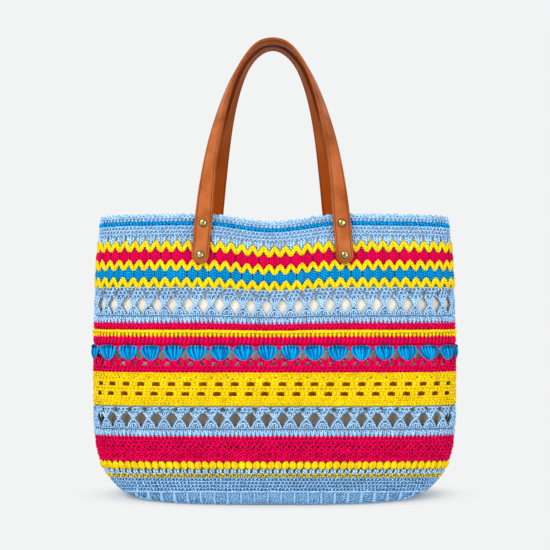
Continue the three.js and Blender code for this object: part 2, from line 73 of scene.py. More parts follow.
camera_data = bpy.data.cameras.new("camera")
camera_data.sensor_width = SENSOR_MM
camera_data.lens = LENS_PIXELS / FRAME_PIXELS * SENSOR_MM
camera_data.clip_start = 0.01
camera = add_object("camera", camera_data)
camera.location = CAMERA_PLACE
camera.rotation_euler = (math.radians(90), 0, 0)
bpy.context.scene.camera = camera
bpy.context.scene.view_settings.view_transform = "Standard"

# %% [markdown]
# Every stitch is placed in the cloth's own measure: how far along the row it is, how high up the wall, and
# how far it stands proud of the middle of the cloth. One function bends that flat measure onto the bag.
# The bag's plan is a superellipse, a rectangle with generous soft corners, and its sides round in below
# the belly. The rows hang a little lower at the two ends, and the rim sags between the handle's feet.

# %% The bag's wall as a surface
BAG_WIDTH = 392.0
BAG_DEPTH = 120.0
BASE_WIDTH = 212.0
BASE_DEPTH = 68.0
BELLY_HEIGHT = 138.0
RIM_HEIGHT = 306.3
CORNER_POWER = 3.4
RIM_WIDTH_LOSS = 16.0
RIM_DEPTH_LOSS = 4.0
SIDE_ROUNDING = 4.0
FACE_ROUNDING = 1.5
SIDE_DROOP = 14.0
RIM_SIDE_DROOP = 0.4
RIM_SAG = 8.0
RIM_SAG_REACH = 72.0
RIM_SAG_FADE = 133.0
HANDLE_OFFSET = -2.1
DROOP_FADE_TOP = 0.8 * RIM_HEIGHT
DROOP_FADE_POWER = 1.2
FLOOR_SOFTNESS = 6.0
STEP_ALONG = 1.0
STEP_UP = 0.4

plan_angle = np.linspace(0, math.pi / 2, 1500)
plan_across = np.sin(plan_angle) ** (2 / CORNER_POWER)
plan_deep = np.cos(plan_angle) ** (2 / CORNER_POWER)
plan_steps = np.hypot(np.diff(plan_across) * BAG_WIDTH / 2, np.diff(plan_deep) * BAG_DEPTH / 2)
plan_run = np.concatenate([[0], np.cumsum(plan_steps)])
PERIMETER = 4 * plan_run[-1]
print("once round the bag:", round(PERIMETER), "mm")


def plan(along):
    """Share of half the width and half the depth at a distance along the row, from the front centre."""
    quarters = np.mod(along / PERIMETER, 1.0) * 4
    quarter = np.floor(quarters)
    inside = quarters - quarter
    run = np.where(quarter % 2 == 0, inside, 1 - inside) * plan_run[-1]
    across = np.interp(run, plan_run, plan_across) * np.where(quarter < 2, 1, -1)
    deep = np.interp(run, plan_run, plan_deep) * np.where((quarter == 0) | (quarter == 3), -1, 1)
    return across, deep


def half_size(height, full, base, rim_loss, rounding):
    """Half the bag's width or depth: nearly upright above the belly, and a rounded shoulder below it."""
    above = full / 2 - rim_loss / 2 * ((height - BELLY_HEIGHT) / (RIM_HEIGHT - BELLY_HEIGHT)) ** 2
    below = np.clip((BELLY_HEIGHT - height) / BELLY_HEIGHT, 0, 1)
    tucked = base / 2 + (full - base) / 2 * np.sqrt(np.maximum(1 - below**rounding, 0))
    return np.where(height >= BELLY_HEIGHT, above, tucked)


def soft_floor(value):
    """Follows value upwards and settles softly on zero below it."""
    return (value + np.sqrt(value**2 + FLOOR_SOFTNESS**2)) / 2


def middle_of_cloth(along, height):
    """The wall's middle surface: plan share times half size, at the row's height less droop and sag."""
    across, deep = plan(along)
    x = half_size(height, BAG_WIDTH, BASE_WIDTH, RIM_WIDTH_LOSS, SIDE_ROUNDING) * across
    y = half_size(height, BAG_DEPTH, BASE_DEPTH, RIM_DEPTH_LOSS, FACE_ROUNDING) * deep
    fade = np.clip(1 - height / DROOP_FADE_TOP, 0, 1) ** DROOP_FADE_POWER
    lowest = RIM_SIDE_DROOP + SIDE_DROOP
    side = soft_floor(height - RIM_SIDE_DROOP - SIDE_DROOP * fade) - soft_floor(-lowest)
    reach = np.clip(np.abs(x - HANDLE_OFFSET) / RIM_SAG_REACH, 0, 1)
    sag_fade = np.clip(1 - (RIM_HEIGHT - height) / RIM_SAG_FADE, 0, 1)
    sag = RIM_SAG * sag_fade * 0.5 * (1 + np.cos(math.pi * reach))
    z = height + (side - height) * (1 - np.abs(deep)) - sag
    return np.stack([x, y, z], axis=-1)


def cloth(along, height, proud):
    """A point in the frame, in metres: the middle surface plus proud times its normal.

    The normal is the cross product of a short step along the row and a short step up the wall."""
    along, height, proud = np.broadcast_arrays(along, height, proud)
    run = middle_of_cloth(along + STEP_ALONG, height) - middle_of_cloth(along - STEP_ALONG, height)
    lower = np.maximum(height - STEP_UP, 0)
    rise = middle_of_cloth(along, height + STEP_UP) - middle_of_cloth(along, lower)
    normal = np.cross(run, rise)
    normal /= np.linalg.norm(normal, axis=-1, keepdims=True)
    return (middle_of_cloth(along, height) + proud[..., None] * normal) * MM


# %% [markdown]
# A mesh is filled from whole arrays. Faces are given as four-cornered and three-cornered rows of vertex
# numbers, and each corner carries a place along and around the yarn, which the ply pattern follows.

# %% Meshes from arrays
def point_values(mesh, label, values):
    """Gives every point of a mesh one number, which a material can read by its label."""
    attribute = mesh.attributes.new(label, "FLOAT", "POINT")
    attribute.data.foreach_set("value", np.asarray(values, np.float32))


def add_mesh(name, points, quads, tris=None, quad_uv=None, tri_uv=None, shade=None):
    """Makes a mesh object from arrays; quads and tris index points, and uv rows match their corners."""
    tris = np.zeros((0, 3), int) if tris is None else tris
    loops = np.concatenate([quads.ravel(), tris.ravel()]).astype(np.int32)
    totals = np.concatenate([np.full(len(quads), 4), np.full(len(tris), 3)]).astype(np.int32)
    starts = np.concatenate([[0], np.cumsum(totals)[:-1]]).astype(np.int32)
    mesh = bpy.data.meshes.new(name)
    mesh.vertices.add(len(points))
    mesh.vertices.foreach_set("co", np.ascontiguousarray(points, np.float32).ravel())
    mesh.loops.add(len(loops))
    mesh.loops.foreach_set("vertex_index", loops)
    mesh.polygons.add(len(totals))
    mesh.polygons.foreach_set("loop_start", starts)
    mesh.polygons.foreach_set("loop_total", totals)
    mesh.polygons.foreach_set("use_smooth", np.ones(len(totals), bool))
    if quad_uv is not None:
        layer = mesh.uv_layers.new(name="yarn")
        tri_rows = np.zeros((0, 2)) if tri_uv is None else tri_uv.reshape(-1, 2)
        rows = np.concatenate([quad_uv.reshape(-1, 2), tri_rows])
        layer.data.foreach_set("uv", rows.astype(np.float32).ravel())
    if shade is not None:
        point_values(mesh, "shade", shade)
    mesh.update()
    mesh.validate()
    return add_object(name, mesh)


def ring_faces(count, columns):
    """Quads between rings that follow one another, and a fan of triangles to a pole at each end.

    The two poles are numbered after the points of all the rings."""
    row, column = np.divmod(np.arange((count - 1) * columns), columns)
    after = (column + 1) % columns
    low, high = row * columns, (row + 1) * columns
    quads = np.stack([low + column, low + after, high + after, high + column], axis=-1)
    ids = np.arange(columns)
    following = (ids + 1) % columns
    pole, last = count * columns, (count - 1) * columns
    tris = np.concatenate([
        np.stack([np.full(columns, pole), following, ids], axis=-1),
        np.stack([np.full(columns, pole + 1), last + ids, last + following], axis=-1),
    ])
    return quads, tris


def closed_rings(rings, first_pole, last_pole):
    """Points, quads and triangles of one closed skin over rings of equal size, with a pole at each end."""
    return np.concatenate([*rings, [first_pole], [last_pole]]), *ring_faces(len(rings), len(rings[0]))


def run_along(points):
    """How far along a line each of its points lies, from 0 at the first."""
    return np.concatenate([[0], np.cumsum(np.linalg.norm(np.diff(points, axis=0), axis=1))])


def dress(piece, material, slot, *nodes):
    """Gives a piece its material, hides the solids it stands for, and says which body it rides; the slot is
    not used.
    """
    piece.data.materials.append(material)
    if nodes:
        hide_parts(*nodes)
    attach(piece, "root")


# %% [markdown]
# One stitch leg is a short closed tube of yarn. Hundreds of them share one path, so a single array holds
# them all: stitches, steps along the path, and places round the yarn. Each gatherer collects the legs of
# one band, then turns them into one mesh.

# %% Lengths of yarn
BUNDLE_FURROWS = np.array([0.08, 1.5])
TRIANGLES = []
RANDOM = np.random.default_rng(7)
YARN_RADIUS = 1.15
REAR_SKIN = -1.3


class Band:
    """Gathers lengths of yarn, in the cloth's measure, until they are joined into one mesh."""

    def __init__(self, name):
        self.name = name
        self.points, self.quads, self.tris = [], [], []
        self.quad_uv, self.tri_uv, self.shade = [], [], []
        self.count = 0

    def lay(
        self, where, path, radius=YARN_RADIUS, sides=5, flat=0.85, ends=0.55, tone=1.0, vary=0.1, jitter=0.12,
        bundle=False,
    ):
        """Lays one yarn per row of where (along, height), following path (steps of along, height, proud).

        A bundle is several strands drawn side by side, so its furrows run nearly lengthwise.
        A point of the tube is the path plus radius times (cos of the turn times the sideways direction,
        sin of the turn times flat times the direction out of the cloth)."""
        where = np.asarray(where, float)
        path = np.asarray(path, float)
        if path.ndim == 2:
            path = np.broadcast_to(path, (len(where),) + path.shape)
        count, steps = path.shape[:2]
        centre = path + np.concatenate([where, np.zeros((count, 1))], axis=1)[:, None, :]
        centre = centre + RANDOM.normal(0, jitter, (count, 1, 3)) * [1, 1, 0.5]
        tangent = np.gradient(centre, axis=1)
        tangent /= np.linalg.norm(tangent, axis=2, keepdims=True)
        sideways = np.stack([-tangent[..., 1], tangent[..., 0], np.zeros((count, steps))], axis=-1)
        sideways /= np.maximum(np.linalg.norm(sideways, axis=2, keepdims=True), 1e-6)
        outwards = np.cross(tangent, sideways)
        thick = np.broadcast_to(np.asarray(radius, float), (steps,)).copy()
        taper = np.ones(steps)
        taper[0] = taper[-1] = ends
        thick = thick * taper
        turn = np.arange(sides) / sides * 2 * math.pi
        ring = (
            np.cos(turn)[None, None, :, None] * sideways[:, :, None, :]
            + flat * np.sin(turn)[None, None, :, None] * outwards[:, :, None, :]
        )
        tube = centre[:, :, None, :] + thick[None, :, None, None] * ring
        caps = np.stack([
            centre[:, 0] - tangent[:, 0] * thick[0] * 0.5,
            centre[:, -1] + tangent[:, -1] * thick[-1] * 0.5,
        ], axis=1)
        local = np.concatenate([tube.reshape(count, steps * sides, 3), caps], axis=1)
        base = self.count + np.arange(count)[:, None] * (steps * sides + 2)
        quad, tri = ring_faces(steps, sides)
        quad, tri = quad[:, [0, 3, 2, 1]], tri[:, [0, 2, 1]]
        ids = np.arange(sides)
        run = run_along(centre[0])
        u = run[quad // sides]
        v = (quad[:, :1] % sides + [0, 0, 1, 1]) / sides
        furrows = BUNDLE_FURROWS if bundle else np.ones(2)
        quad_uv = np.stack([u, v], axis=-1) * furrows
        start_v = np.stack([ids + 0.5, ids, ids + 1], axis=-1) / sides
        end_v = np.stack([ids + 0.5, ids + 1, ids], axis=-1) / sides
        start_uv = np.stack([np.zeros((sides, 3)), start_v], axis=-1)
        end_uv = np.stack([np.full((sides, 3), run[-1]), end_v], axis=-1)
        tri_uv = np.concatenate([start_uv, end_uv]) * furrows
        offset = RANDOM.uniform(0, 8, (count, 1, 1, 1)) * [1, 0]
        self.points.append(cloth(local[..., 0], local[..., 1], local[..., 2]).reshape(-1, 3))
        self.quads.append((base[:, :, None] + quad[None]).reshape(-1, 4))
        self.tris.append((base[:, :, None] + tri[None]).reshape(-1, 3))
        self.quad_uv.append((quad_uv[None] + offset).reshape(-1, 4, 2))
        self.tri_uv.append((tri_uv[None] + offset).reshape(-1, 3, 2))
        tones = tone + RANDOM.normal(0, vary, (count, 1))
        self.shade.append(np.broadcast_to(tones, local.shape[:2]).ravel())
        self.count += count * (steps * sides + 2)

    def back(self, foot, top, columns, rows, open_at=None, front=-0.3, tone=0.62):
        """Lays the ground behind the stitches: a thin double skin from foot to top, open where open_at says.

        Each small square of the sheet becomes a front face and a rear face, and a wall where it ends. Its
        tone, below 1, darkens it as painted shade of the deep gaps between the stitches."""
        along = np.arange(columns) / columns * PERIMETER
        height = np.linspace(foot, top, rows + 1)
        centre_along = along + PERIMETER / columns / 2
        centre_height = (height[:-1] + height[1:]) / 2
        solid = np.ones((rows, columns), bool)
        if open_at is not None:
            solid = ~open_at(*np.meshgrid(centre_along, centre_height))
        grid = np.arange((rows + 1) * columns).reshape(rows + 1, columns)
        shift = (rows + 1) * columns
        row, column = np.nonzero(solid)
        right = (column + 1) % columns
        a, b = grid[row, column], grid[row, right]
        c, d = grid[row + 1, right], grid[row + 1, column]
        faces = [np.stack([a, b, c, d], -1), np.stack([a, d, c, b], -1) + shift]
        below = np.vstack([np.zeros((1, columns), bool), solid[:-1]])
        above = np.vstack([solid[1:], np.zeros((1, columns), bool)])
        left_of, right_of = np.roll(solid, 1, axis=1), np.roll(solid, -1, axis=1)
        for beside, p, q in ((below, b, a), (above, d, c), (left_of, a, d), (right_of, c, b)):
            edge = ~beside[row, column]
            faces.append(np.stack([p[edge], q[edge], q[edge] + shift, p[edge] + shift], -1))
        sheets = [cloth(*np.meshgrid(along, height), depth).reshape(-1, 3) for depth in (front, REAR_SKIN)]
        self.add_skin(np.concatenate(sheets), np.concatenate(faces), tone)

    def add_skin(self, points, quads, tone, tris=None):
        """Adds ready points, in metres, with faces that have one tone and no ply pattern."""
        self.points.append(points)
        self.quads.append(quads + self.count)
        self.quad_uv.append(np.zeros((len(quads), 4, 2)))
        if tris is not None:
            self.tris.append(tris + self.count)
            self.tri_uv.append(np.zeros((len(tris), 3, 2)))
        self.shade.append(np.full(len(points), tone))
        self.count += len(points)

    def finish(self, yarn, node_name):
        """Joins everything gathered into one mesh that stands for its node, with nothing below the floor.

        A yarn is a pair: its material and its slot."""
        tris = np.concatenate(self.tris) if self.tris else None
        tri_uv = np.concatenate(self.tri_uv) if self.tri_uv else None
        points, quads = np.concatenate(self.points), np.concatenate(self.quads)
        points[:, 2] = np.maximum(points[:, 2], 0)
        used = np.zeros(len(points), bool)
        used[quads.ravel()] = True
        if tris is not None:
            used[tris.ravel()] = True
        renumber = np.cumsum(used) - 1
        piece = add_mesh(
            self.name, points[used], renumber[quads], None if tris is None else renumber[tris],
            np.concatenate(self.quad_uv), tri_uv, np.concatenate(self.shade)[used],
        )
        dress(piece, *yarn, node_name)
        faces = 2 * len(quads) + (0 if tris is None else len(tris))
        TRIANGLES.append(faces)
        print(f"{self.name}: {faces} triangles")


def spots(count, height, shift=0.0, step=0.0, keep=None):
    """Places spaced evenly once round the bag at one height.

    All of them are moved along by shift shares of their spacing, and by step millimetres. Only those
    stay for which keep, a function of along and height, is true."""
    along = (np.arange(count) + shift) / count * PERIMETER + step
    places = np.stack([along, np.broadcast_to(height, along.shape)], axis=-1)
    return places if keep is None else places[keep(*places.T)]


def span(steps):
    """Places along a length of yarn, from -0.5 at its start to 0.5 at its end."""
    return np.linspace(-0.5, 0.5, steps)


SPAN = span(3)


def yarn_path(along, height, proud):
    """Steps of a length of yarn as rows of (along, height, proud), in mm from the place where it is laid."""
    return np.stack(np.broadcast_arrays(along, height, proud), axis=-1)


# %% [markdown]
# The materials come next. Mercerised cotton has a soft sheen, and its plies show as slanting furrows along
# each length of yarn, with painted shade in the furrows and a painted glint on each ply. The pattern follows
# the yarn's own UV, so it turns with every stitch.

# %% Colours and the node helper
def linear(text):
    """An sRGB hex colour as linear red, green and blue, and an alpha of 1."""
    parts = [int(text[i:i + 2], 16) / 255 for i in (1, 3, 5)]
    return [p / 12.92 if p <= 0.04045 else ((p + 0.055) / 1.055) ** 2.4 for p in parts] + [1.0]


def node(tree, kind, inputs=None, **settings):
    """Adds one node. Settings are its properties; inputs are its sockets, each with a value or a link."""
    made = tree.nodes.new(kind)
    for key, value in settings.items():
        setattr(made, key, value)
    for key, value in (inputs or {}).items():
        socket = made.inputs[key]
        if isinstance(value, bpy.types.NodeSocket):
            tree.links.new(value, socket)
        else:
            socket.default_value = value
    return made


def new_material(name, inputs):
    """A material, its node tree and its shader, with what is the same all over set on the shader's inputs."""
    material = bpy.data.materials.new(name)
    material.use_nodes = True
    tree = material.node_tree
    shader = tree.nodes["Principled BSDF"]
    for key, value in inputs.items():
        shader.inputs[key].default_value = value
    return material, tree, shader


# Each ply lies this far along the yarn before it has gone once round
PLY_LAY_MM = 5.5
PLIES = 2
FIBRE_MM = 0.35


def yarn_material(name, slot, crevice, body, glint, sheen=0.04, shine=0.12):
    """Mercerised cotton: painted shade between plies, body on them, a painted glint where a ply stands
    proudest.
    """
    material, tree, shader = new_material(name, {
        "Roughness": 0.6, "Specular IOR Level": shine, "Sheen Weight": sheen, "Sheen Roughness": 0.4,
    })
    uv = node(tree, "ShaderNodeUVMap", uv_map="yarn")
    parts = node(tree, "ShaderNodeSeparateXYZ", {0: uv.outputs[0]})
    lay = node(tree, "ShaderNodeMath", {0: parts.outputs[0], 1: 1 / PLY_LAY_MM}, operation="MULTIPLY")
    turns = node(tree, "ShaderNodeMath", {0: parts.outputs[1], 1: lay.outputs[0]}, operation="ADD")
    angle = node(tree, "ShaderNodeMath", {0: turns.outputs[0], 1: PLIES * 2 * math.pi}, operation="MULTIPLY")
    ridge = node(tree, "ShaderNodeMath", {0: angle.outputs[0]}, operation="COSINE")
    height = node(tree, "ShaderNodeMapRange", {0: ridge.outputs[0], 1: -1.0, 2: 1.0, 3: 0.0, 4: 1.0})
    place = node(tree, "ShaderNodeTexCoord").outputs["Object"]
    fibre = node(tree, "ShaderNodeTexNoise", {"Vector": place, "Scale": 1000 / FIBRE_MM / 2, "Detail": 2.0})
    slow = node(tree, "ShaderNodeTexNoise", {"Vector": place, "Scale": 60.0, "Detail": 2.0})
    # The ply's height picks the colour: painted shade low in the furrow, a painted glint on the crest
    ramp = node(tree, "ShaderNodeValToRGB", {0: height.outputs[0]})
    ramp.color_ramp.elements[0].color = linear(crevice)
    ramp.color_ramp.elements[0].position = 0.0
    ramp.color_ramp.elements[1].color = linear(glint)
    ramp.color_ramp.elements[1].position = 1.0
    middle = ramp.color_ramp.elements.new(0.45)
    middle.color = linear(body)
    shade = node(tree, "ShaderNodeAttribute", attribute_name="shade")
    wander = node(tree, "ShaderNodeMapRange", {0: slow.outputs[0], 1: 0.3, 2: 0.7, 3: 0.93, 4: 1.07})
    tone = node(tree, "ShaderNodeMath", {0: shade.outputs["Fac"], 1: wander.outputs[0]}, operation="MULTIPLY")
    colour = node(tree, "ShaderNodeVectorMath", {0: ramp.outputs[0]}, operation="SCALE")
    tree.links.new(tone.outputs[0], colour.inputs["Scale"])
    tree.links.new(colour.outputs[0], shader.inputs["Base Color"])
    fuzz = node(tree, "ShaderNodeMath", {0: fibre.outputs[0], 1: 0.25}, operation="MULTIPLY")
    relief = node(tree, "ShaderNodeMath", {0: height.outputs[0], 1: fuzz.outputs[0]}, operation="ADD")
    bump = node(tree, "ShaderNodeBump", {"Strength": 0.55, "Distance": 0.0004, "Height": relief.outputs[0]})
    tree.links.new(bump.outputs[0], shader.inputs["Normal"])
    return material, slot


light_blue = yarn_material(
    "light_blue_mercerised_cotton", "yarn_light_blue", "#6598d0", "#93c2ec", "#bfe1fb",
)
# A darker copy of the light blue yarn on the same slot, which makes the hem and the base darker
darker_light_blue = yarn_material(
    "darker_light_blue_mercerised_cotton", "yarn_light_blue", "#5590cc", "#80b2e0", "#b0dcfd",
)
bright_blue = yarn_material(
    "bright_blue_mercerised_cotton", "yarn_bright_blue", "#00508e", "#008ccf", "#00a8ee",
    sheen=0.0, shine=0.04,
)
pink_yarn = yarn_material(
    "pink_mercerised_cotton", "yarn_pink", "#a80036", "#e0004f", "#fb0660", sheen=0.0, shine=0.03,
)
yellow_yarn = yarn_material(
    "yellow_mercerised_cotton", "yarn_yellow", "#e2ac00", "#f4d400", "#f9de0a", sheen=0.0,
)

# %% [markdown]
# The rows. Most of the wall is single crochet: a fat grain for each stitch, leaning a little, with a thin
# slanting loop over it. One function lays such a row, and the bands differ by count, lean and colour.

# %% Plain rows
STITCHES = 208
STITCH = PERIMETER / STITCHES
GRAIN = np.array([0.8, 1.12, 0.85])


def plain_row(band, foot, top, lean=0.8, radius=1.55, shift=0.0, loop=0.85, keep=None, tone=1.0, vary=0.1):
    """One row of grains, and above them a round of slanting loops of the given radius, if it isn't zero."""
    loop_rise = 1.2 if loop else 0.0
    rise = top - loop_rise - foot
    places = spots(STITCHES, foot + rise / 2, shift, keep=keep)
    path = yarn_path(lean * SPAN, (rise + 0.2) * SPAN, [0.3, 0.95, 0.3])
    band.lay(places, path, radius=radius * GRAIN, sides=4, flat=0.8, tone=tone, vary=vary)
    if loop:
        path = yarn_path(STITCH * 1.3 * SPAN, 0.9 * SPAN, [0.9, 1.35, 0.9])
        places = spots(STITCHES, top - 0.6, shift + 0.4, keep=keep)
        band.lay(places, path, radius=loop, sides=4, tone=tone * 1.04)


def plain_rows(band, foot, top, rows, **choices):
    """Several plain rows that share one stretch of the wall, each shifted by a third of a stitch."""
    edges = np.linspace(foot, top, rows + 1)
    for number, (row_foot, row_top) in enumerate(zip(edges[:-1], edges[1:])):
        plain_row(band, row_foot, row_top, shift=number / 3, **choices)


def away_from(along, pitch, shift=0.0):
    """Distance along the row to the nearest of the places shift, 1 + shift, 2 + shift, ... times pitch."""
    return np.abs(np.mod(along / pitch - shift + 0.5, 1.0) - 0.5) * pitch


# %% [markdown]
# The rim is a round of small low picots over one tight row, then one bright blue round, then rows of light
# blue down to the first zigzag. A small pointed hole stays open over each of its peaks.

# %% Rim and top bands
PICOTS = 112
arch = span(5)
rim = Band("crochet_rim_edge")
rim.back(298.6, 305.6, columns=200, rows=2)
plain_row(rim, 298.5, 303.0)
picot = yarn_path(PERIMETER / PICOTS * 0.95 * arch, 2.3 * np.cos(math.pi * arch) - 0.7, 0)
rim.lay(spots(PICOTS, 304.4), picot, radius=1.25, ends=0.8)
fill = np.array([[0, -1.8, 0.2], [0, 0, 0.6], [0, 1.3, 0.2]])
rim.lay(spots(PICOTS, 304.2), fill, radius=[1.9, 2.2, 1.5], sides=6, flat=0.6)
rim.lay(spots(PICOTS, 303.6, 0.5), fill * [1, 0.8, 1], radius=[1.6, 1.9, 1.2], sides=6, flat=0.6, tone=0.92)
rim.finish(light_blue, "rim_edge")

stripe = Band("crochet_bright_blue_stripe")
stripe.back(294.4, 298.6, columns=160, rows=1)
stroke = yarn_path(-1.9 * SPAN, 5.2 * SPAN, [0.6, 1.4, 0.9])
stripe.lay(spots(STITCHES + 40, 296.2), stroke, radius=[0.8, 1.5, 1.2], vary=0.14, jitter=0.35, tone=1.1)
stripe.finish(bright_blue, "bright_blue_stripe")

ZIGZAGS = 80
ZIGZAG = PERIMETER / ZIGZAGS
PEAK_HOLE = 280.4
FAN_LEGS = 3
FAN_TOP = 283.6


def above_peaks(along, height):
    """Small pointed holes over the peaks of the first zigzag."""
    return (height < PEAK_HOLE + 2.4) & (height > 274) & (away_from(along, ZIGZAG) < 1.5)


top_band = Band("crochet_light_blue_top_band")
top_band.back(268.0, 294.4, columns=400, rows=12, open_at=above_peaks, tone=0.6)
for row_foot, row_top in ((283.9, 286.7), (287.7, 290.3), (291.3, 294.2)):
    plain_row(top_band, row_foot, row_top, shift=row_foot, tone=1.02)
for number in range(FAN_LEGS):
    lane = (number + 0.5) / FAN_LEGS - 0.5
    foot_height = 273.4 + 6.2 * abs(2 * lane) ** 1.2
    step = span(4)
    rise = FAN_TOP - foot_height
    leg = yarn_path(lane * ZIGZAG * 0.32 * step, rise * step, 0.5 + 0.5 * np.cos(math.pi * step))
    places = spots(ZIGZAGS, FAN_TOP - rise / 2, 0.5 + lane * 0.74)
    top_band.lay(places, leg, radius=[1.1, 1.5, 1.55, 1.4], flat=0.7)
top_band.finish(light_blue, "light_blue_top_band")

# %% [markdown]
# A zigzag is worked with the yarn held double, so it reads as a thick cord that climbs and falls. Between
# two zigzags sit the clusters: several legs drawn together at the top and the bottom, fat in the middle.

# %% Zigzags
ZIGZAG_SWING = 3.9


def zigzag_cord(name, node_name, middle, shift):
    """A thick cord that climbs and falls once per period, with a rounded stitch on every peak."""
    band = Band(name)
    band.back(middle - 2.4, middle + 2.4, columns=240, rows=2, tone=0.74)
    t = span(5)
    for side in (-1, 1):
        for lane in (-1, 1):
            climb = yarn_path(
                side * ZIGZAG * 0.44 * t,
                -ZIGZAG_SWING * 2.1 * t + 1.15 * lane,
                1.1 + 0.7 * np.cos(math.pi * t) + 0.25 * side,
            )
            places = spots(ZIGZAGS, middle, side * 0.25 - shift)
            fat = 1.62 * np.array([0.8, 1.08, 0.95, 1.08, 0.8])
            band.lay(places, climb, radius=fat, sides=6, flat=0.8, ends=0.8, vary=0.05)
    peak = yarn_path(4.6 * SPAN, [-1.2, 0.9, -1.2], [1.2, 2.1, 1.2])
    band.lay(spots(ZIGZAGS, middle + ZIGZAG_SWING, -shift), peak, radius=[1.4, 1.75, 1.4], sides=6, vary=0.05)
    band.finish(yellow_yarn, node_name)


for number, (middle, shift) in enumerate(((272.8, 0.0), (253.4, 0.5), (235.4, 0.0)), start=1):
    zigzag_cord(f"crochet_yellow_zigzag_{number}", f"yellow_zigzag_{number}", middle, shift)

# %% [markdown]
# Each cluster is a soft pad with five legs over it. The cloth is open in a small slot at the upper and the
# lower end of the gap between two clusters.

# %% Clusters
def cluster_round(name, node_name, yarn, middle, rise, shift, foot, top, tone):
    """A round of clusters: a soft pad, and over it five legs that part and meet again."""
    band = Band(name)

    def between(along, height):
        return (away_from(along, ZIGZAG, shift + 0.5) < 1.2) & (np.abs(np.abs(height - middle) - 4.2) < 1.7)

    band.back(foot, top, columns=400, rows=8, open_at=between, tone=0.35)
    places = spots(ZIGZAGS, middle, shift)
    t = span(6)
    swell = 2.6 + 2.5 * np.cos(math.pi * t) ** 0.5
    pad = yarn_path(0, (rise - 2.4) * t, 0.1 + 0.5 * np.cos(math.pi * t))
    band.lay(places, pad, radius=swell, sides=7, flat=0.3, tone=0.85, vary=0.04, jitter=0.05)
    t = span(5)
    for spread in (-1.0, -0.5, 0.0, 0.5, 1.0):
        legs = yarn_path(
            spread * (2.9 + 1.6 * np.cos(math.pi * t)),
            rise * (1.0 - 0.16 * abs(spread)) * t,
            0.6 + (1.5 - 0.9 * abs(spread)) * np.cos(math.pi * t),
        )
        band.lay(places, legs, radius=1.22, sides=5, tone=tone, vary=0.07, jitter=0.2)
    band.finish(yarn, node_name)


cluster_round(
    "crochet_pink_clusters", "pink_cluster_band", pink_yarn,
    middle=262.4, rise=15.6, shift=0.0, foot=254.5, top=272.0, tone=0.84,
)
cluster_round(
    "crochet_bright_blue_clusters", "bright_blue_cluster_band", bright_blue,
    middle=244.4, rise=15.2, shift=0.5, foot=236.5, top=253.5, tone=0.92,
)

# %% [markdown]
# The two light blue lace bands have a row of diamond openings. Below each gap between diamonds stands a
# domed fan of nested arches and spread legs, and above it hangs a fan turned over. Their necks meet where
# the diamonds are widest.

# %% Diamond lace
DIAMONDS = 56
DIAMOND = PERIMETER / DIAMONDS
NECK = 1.5
DOME_SPREAD = 6.4
HANG_SPREAD = 4.6


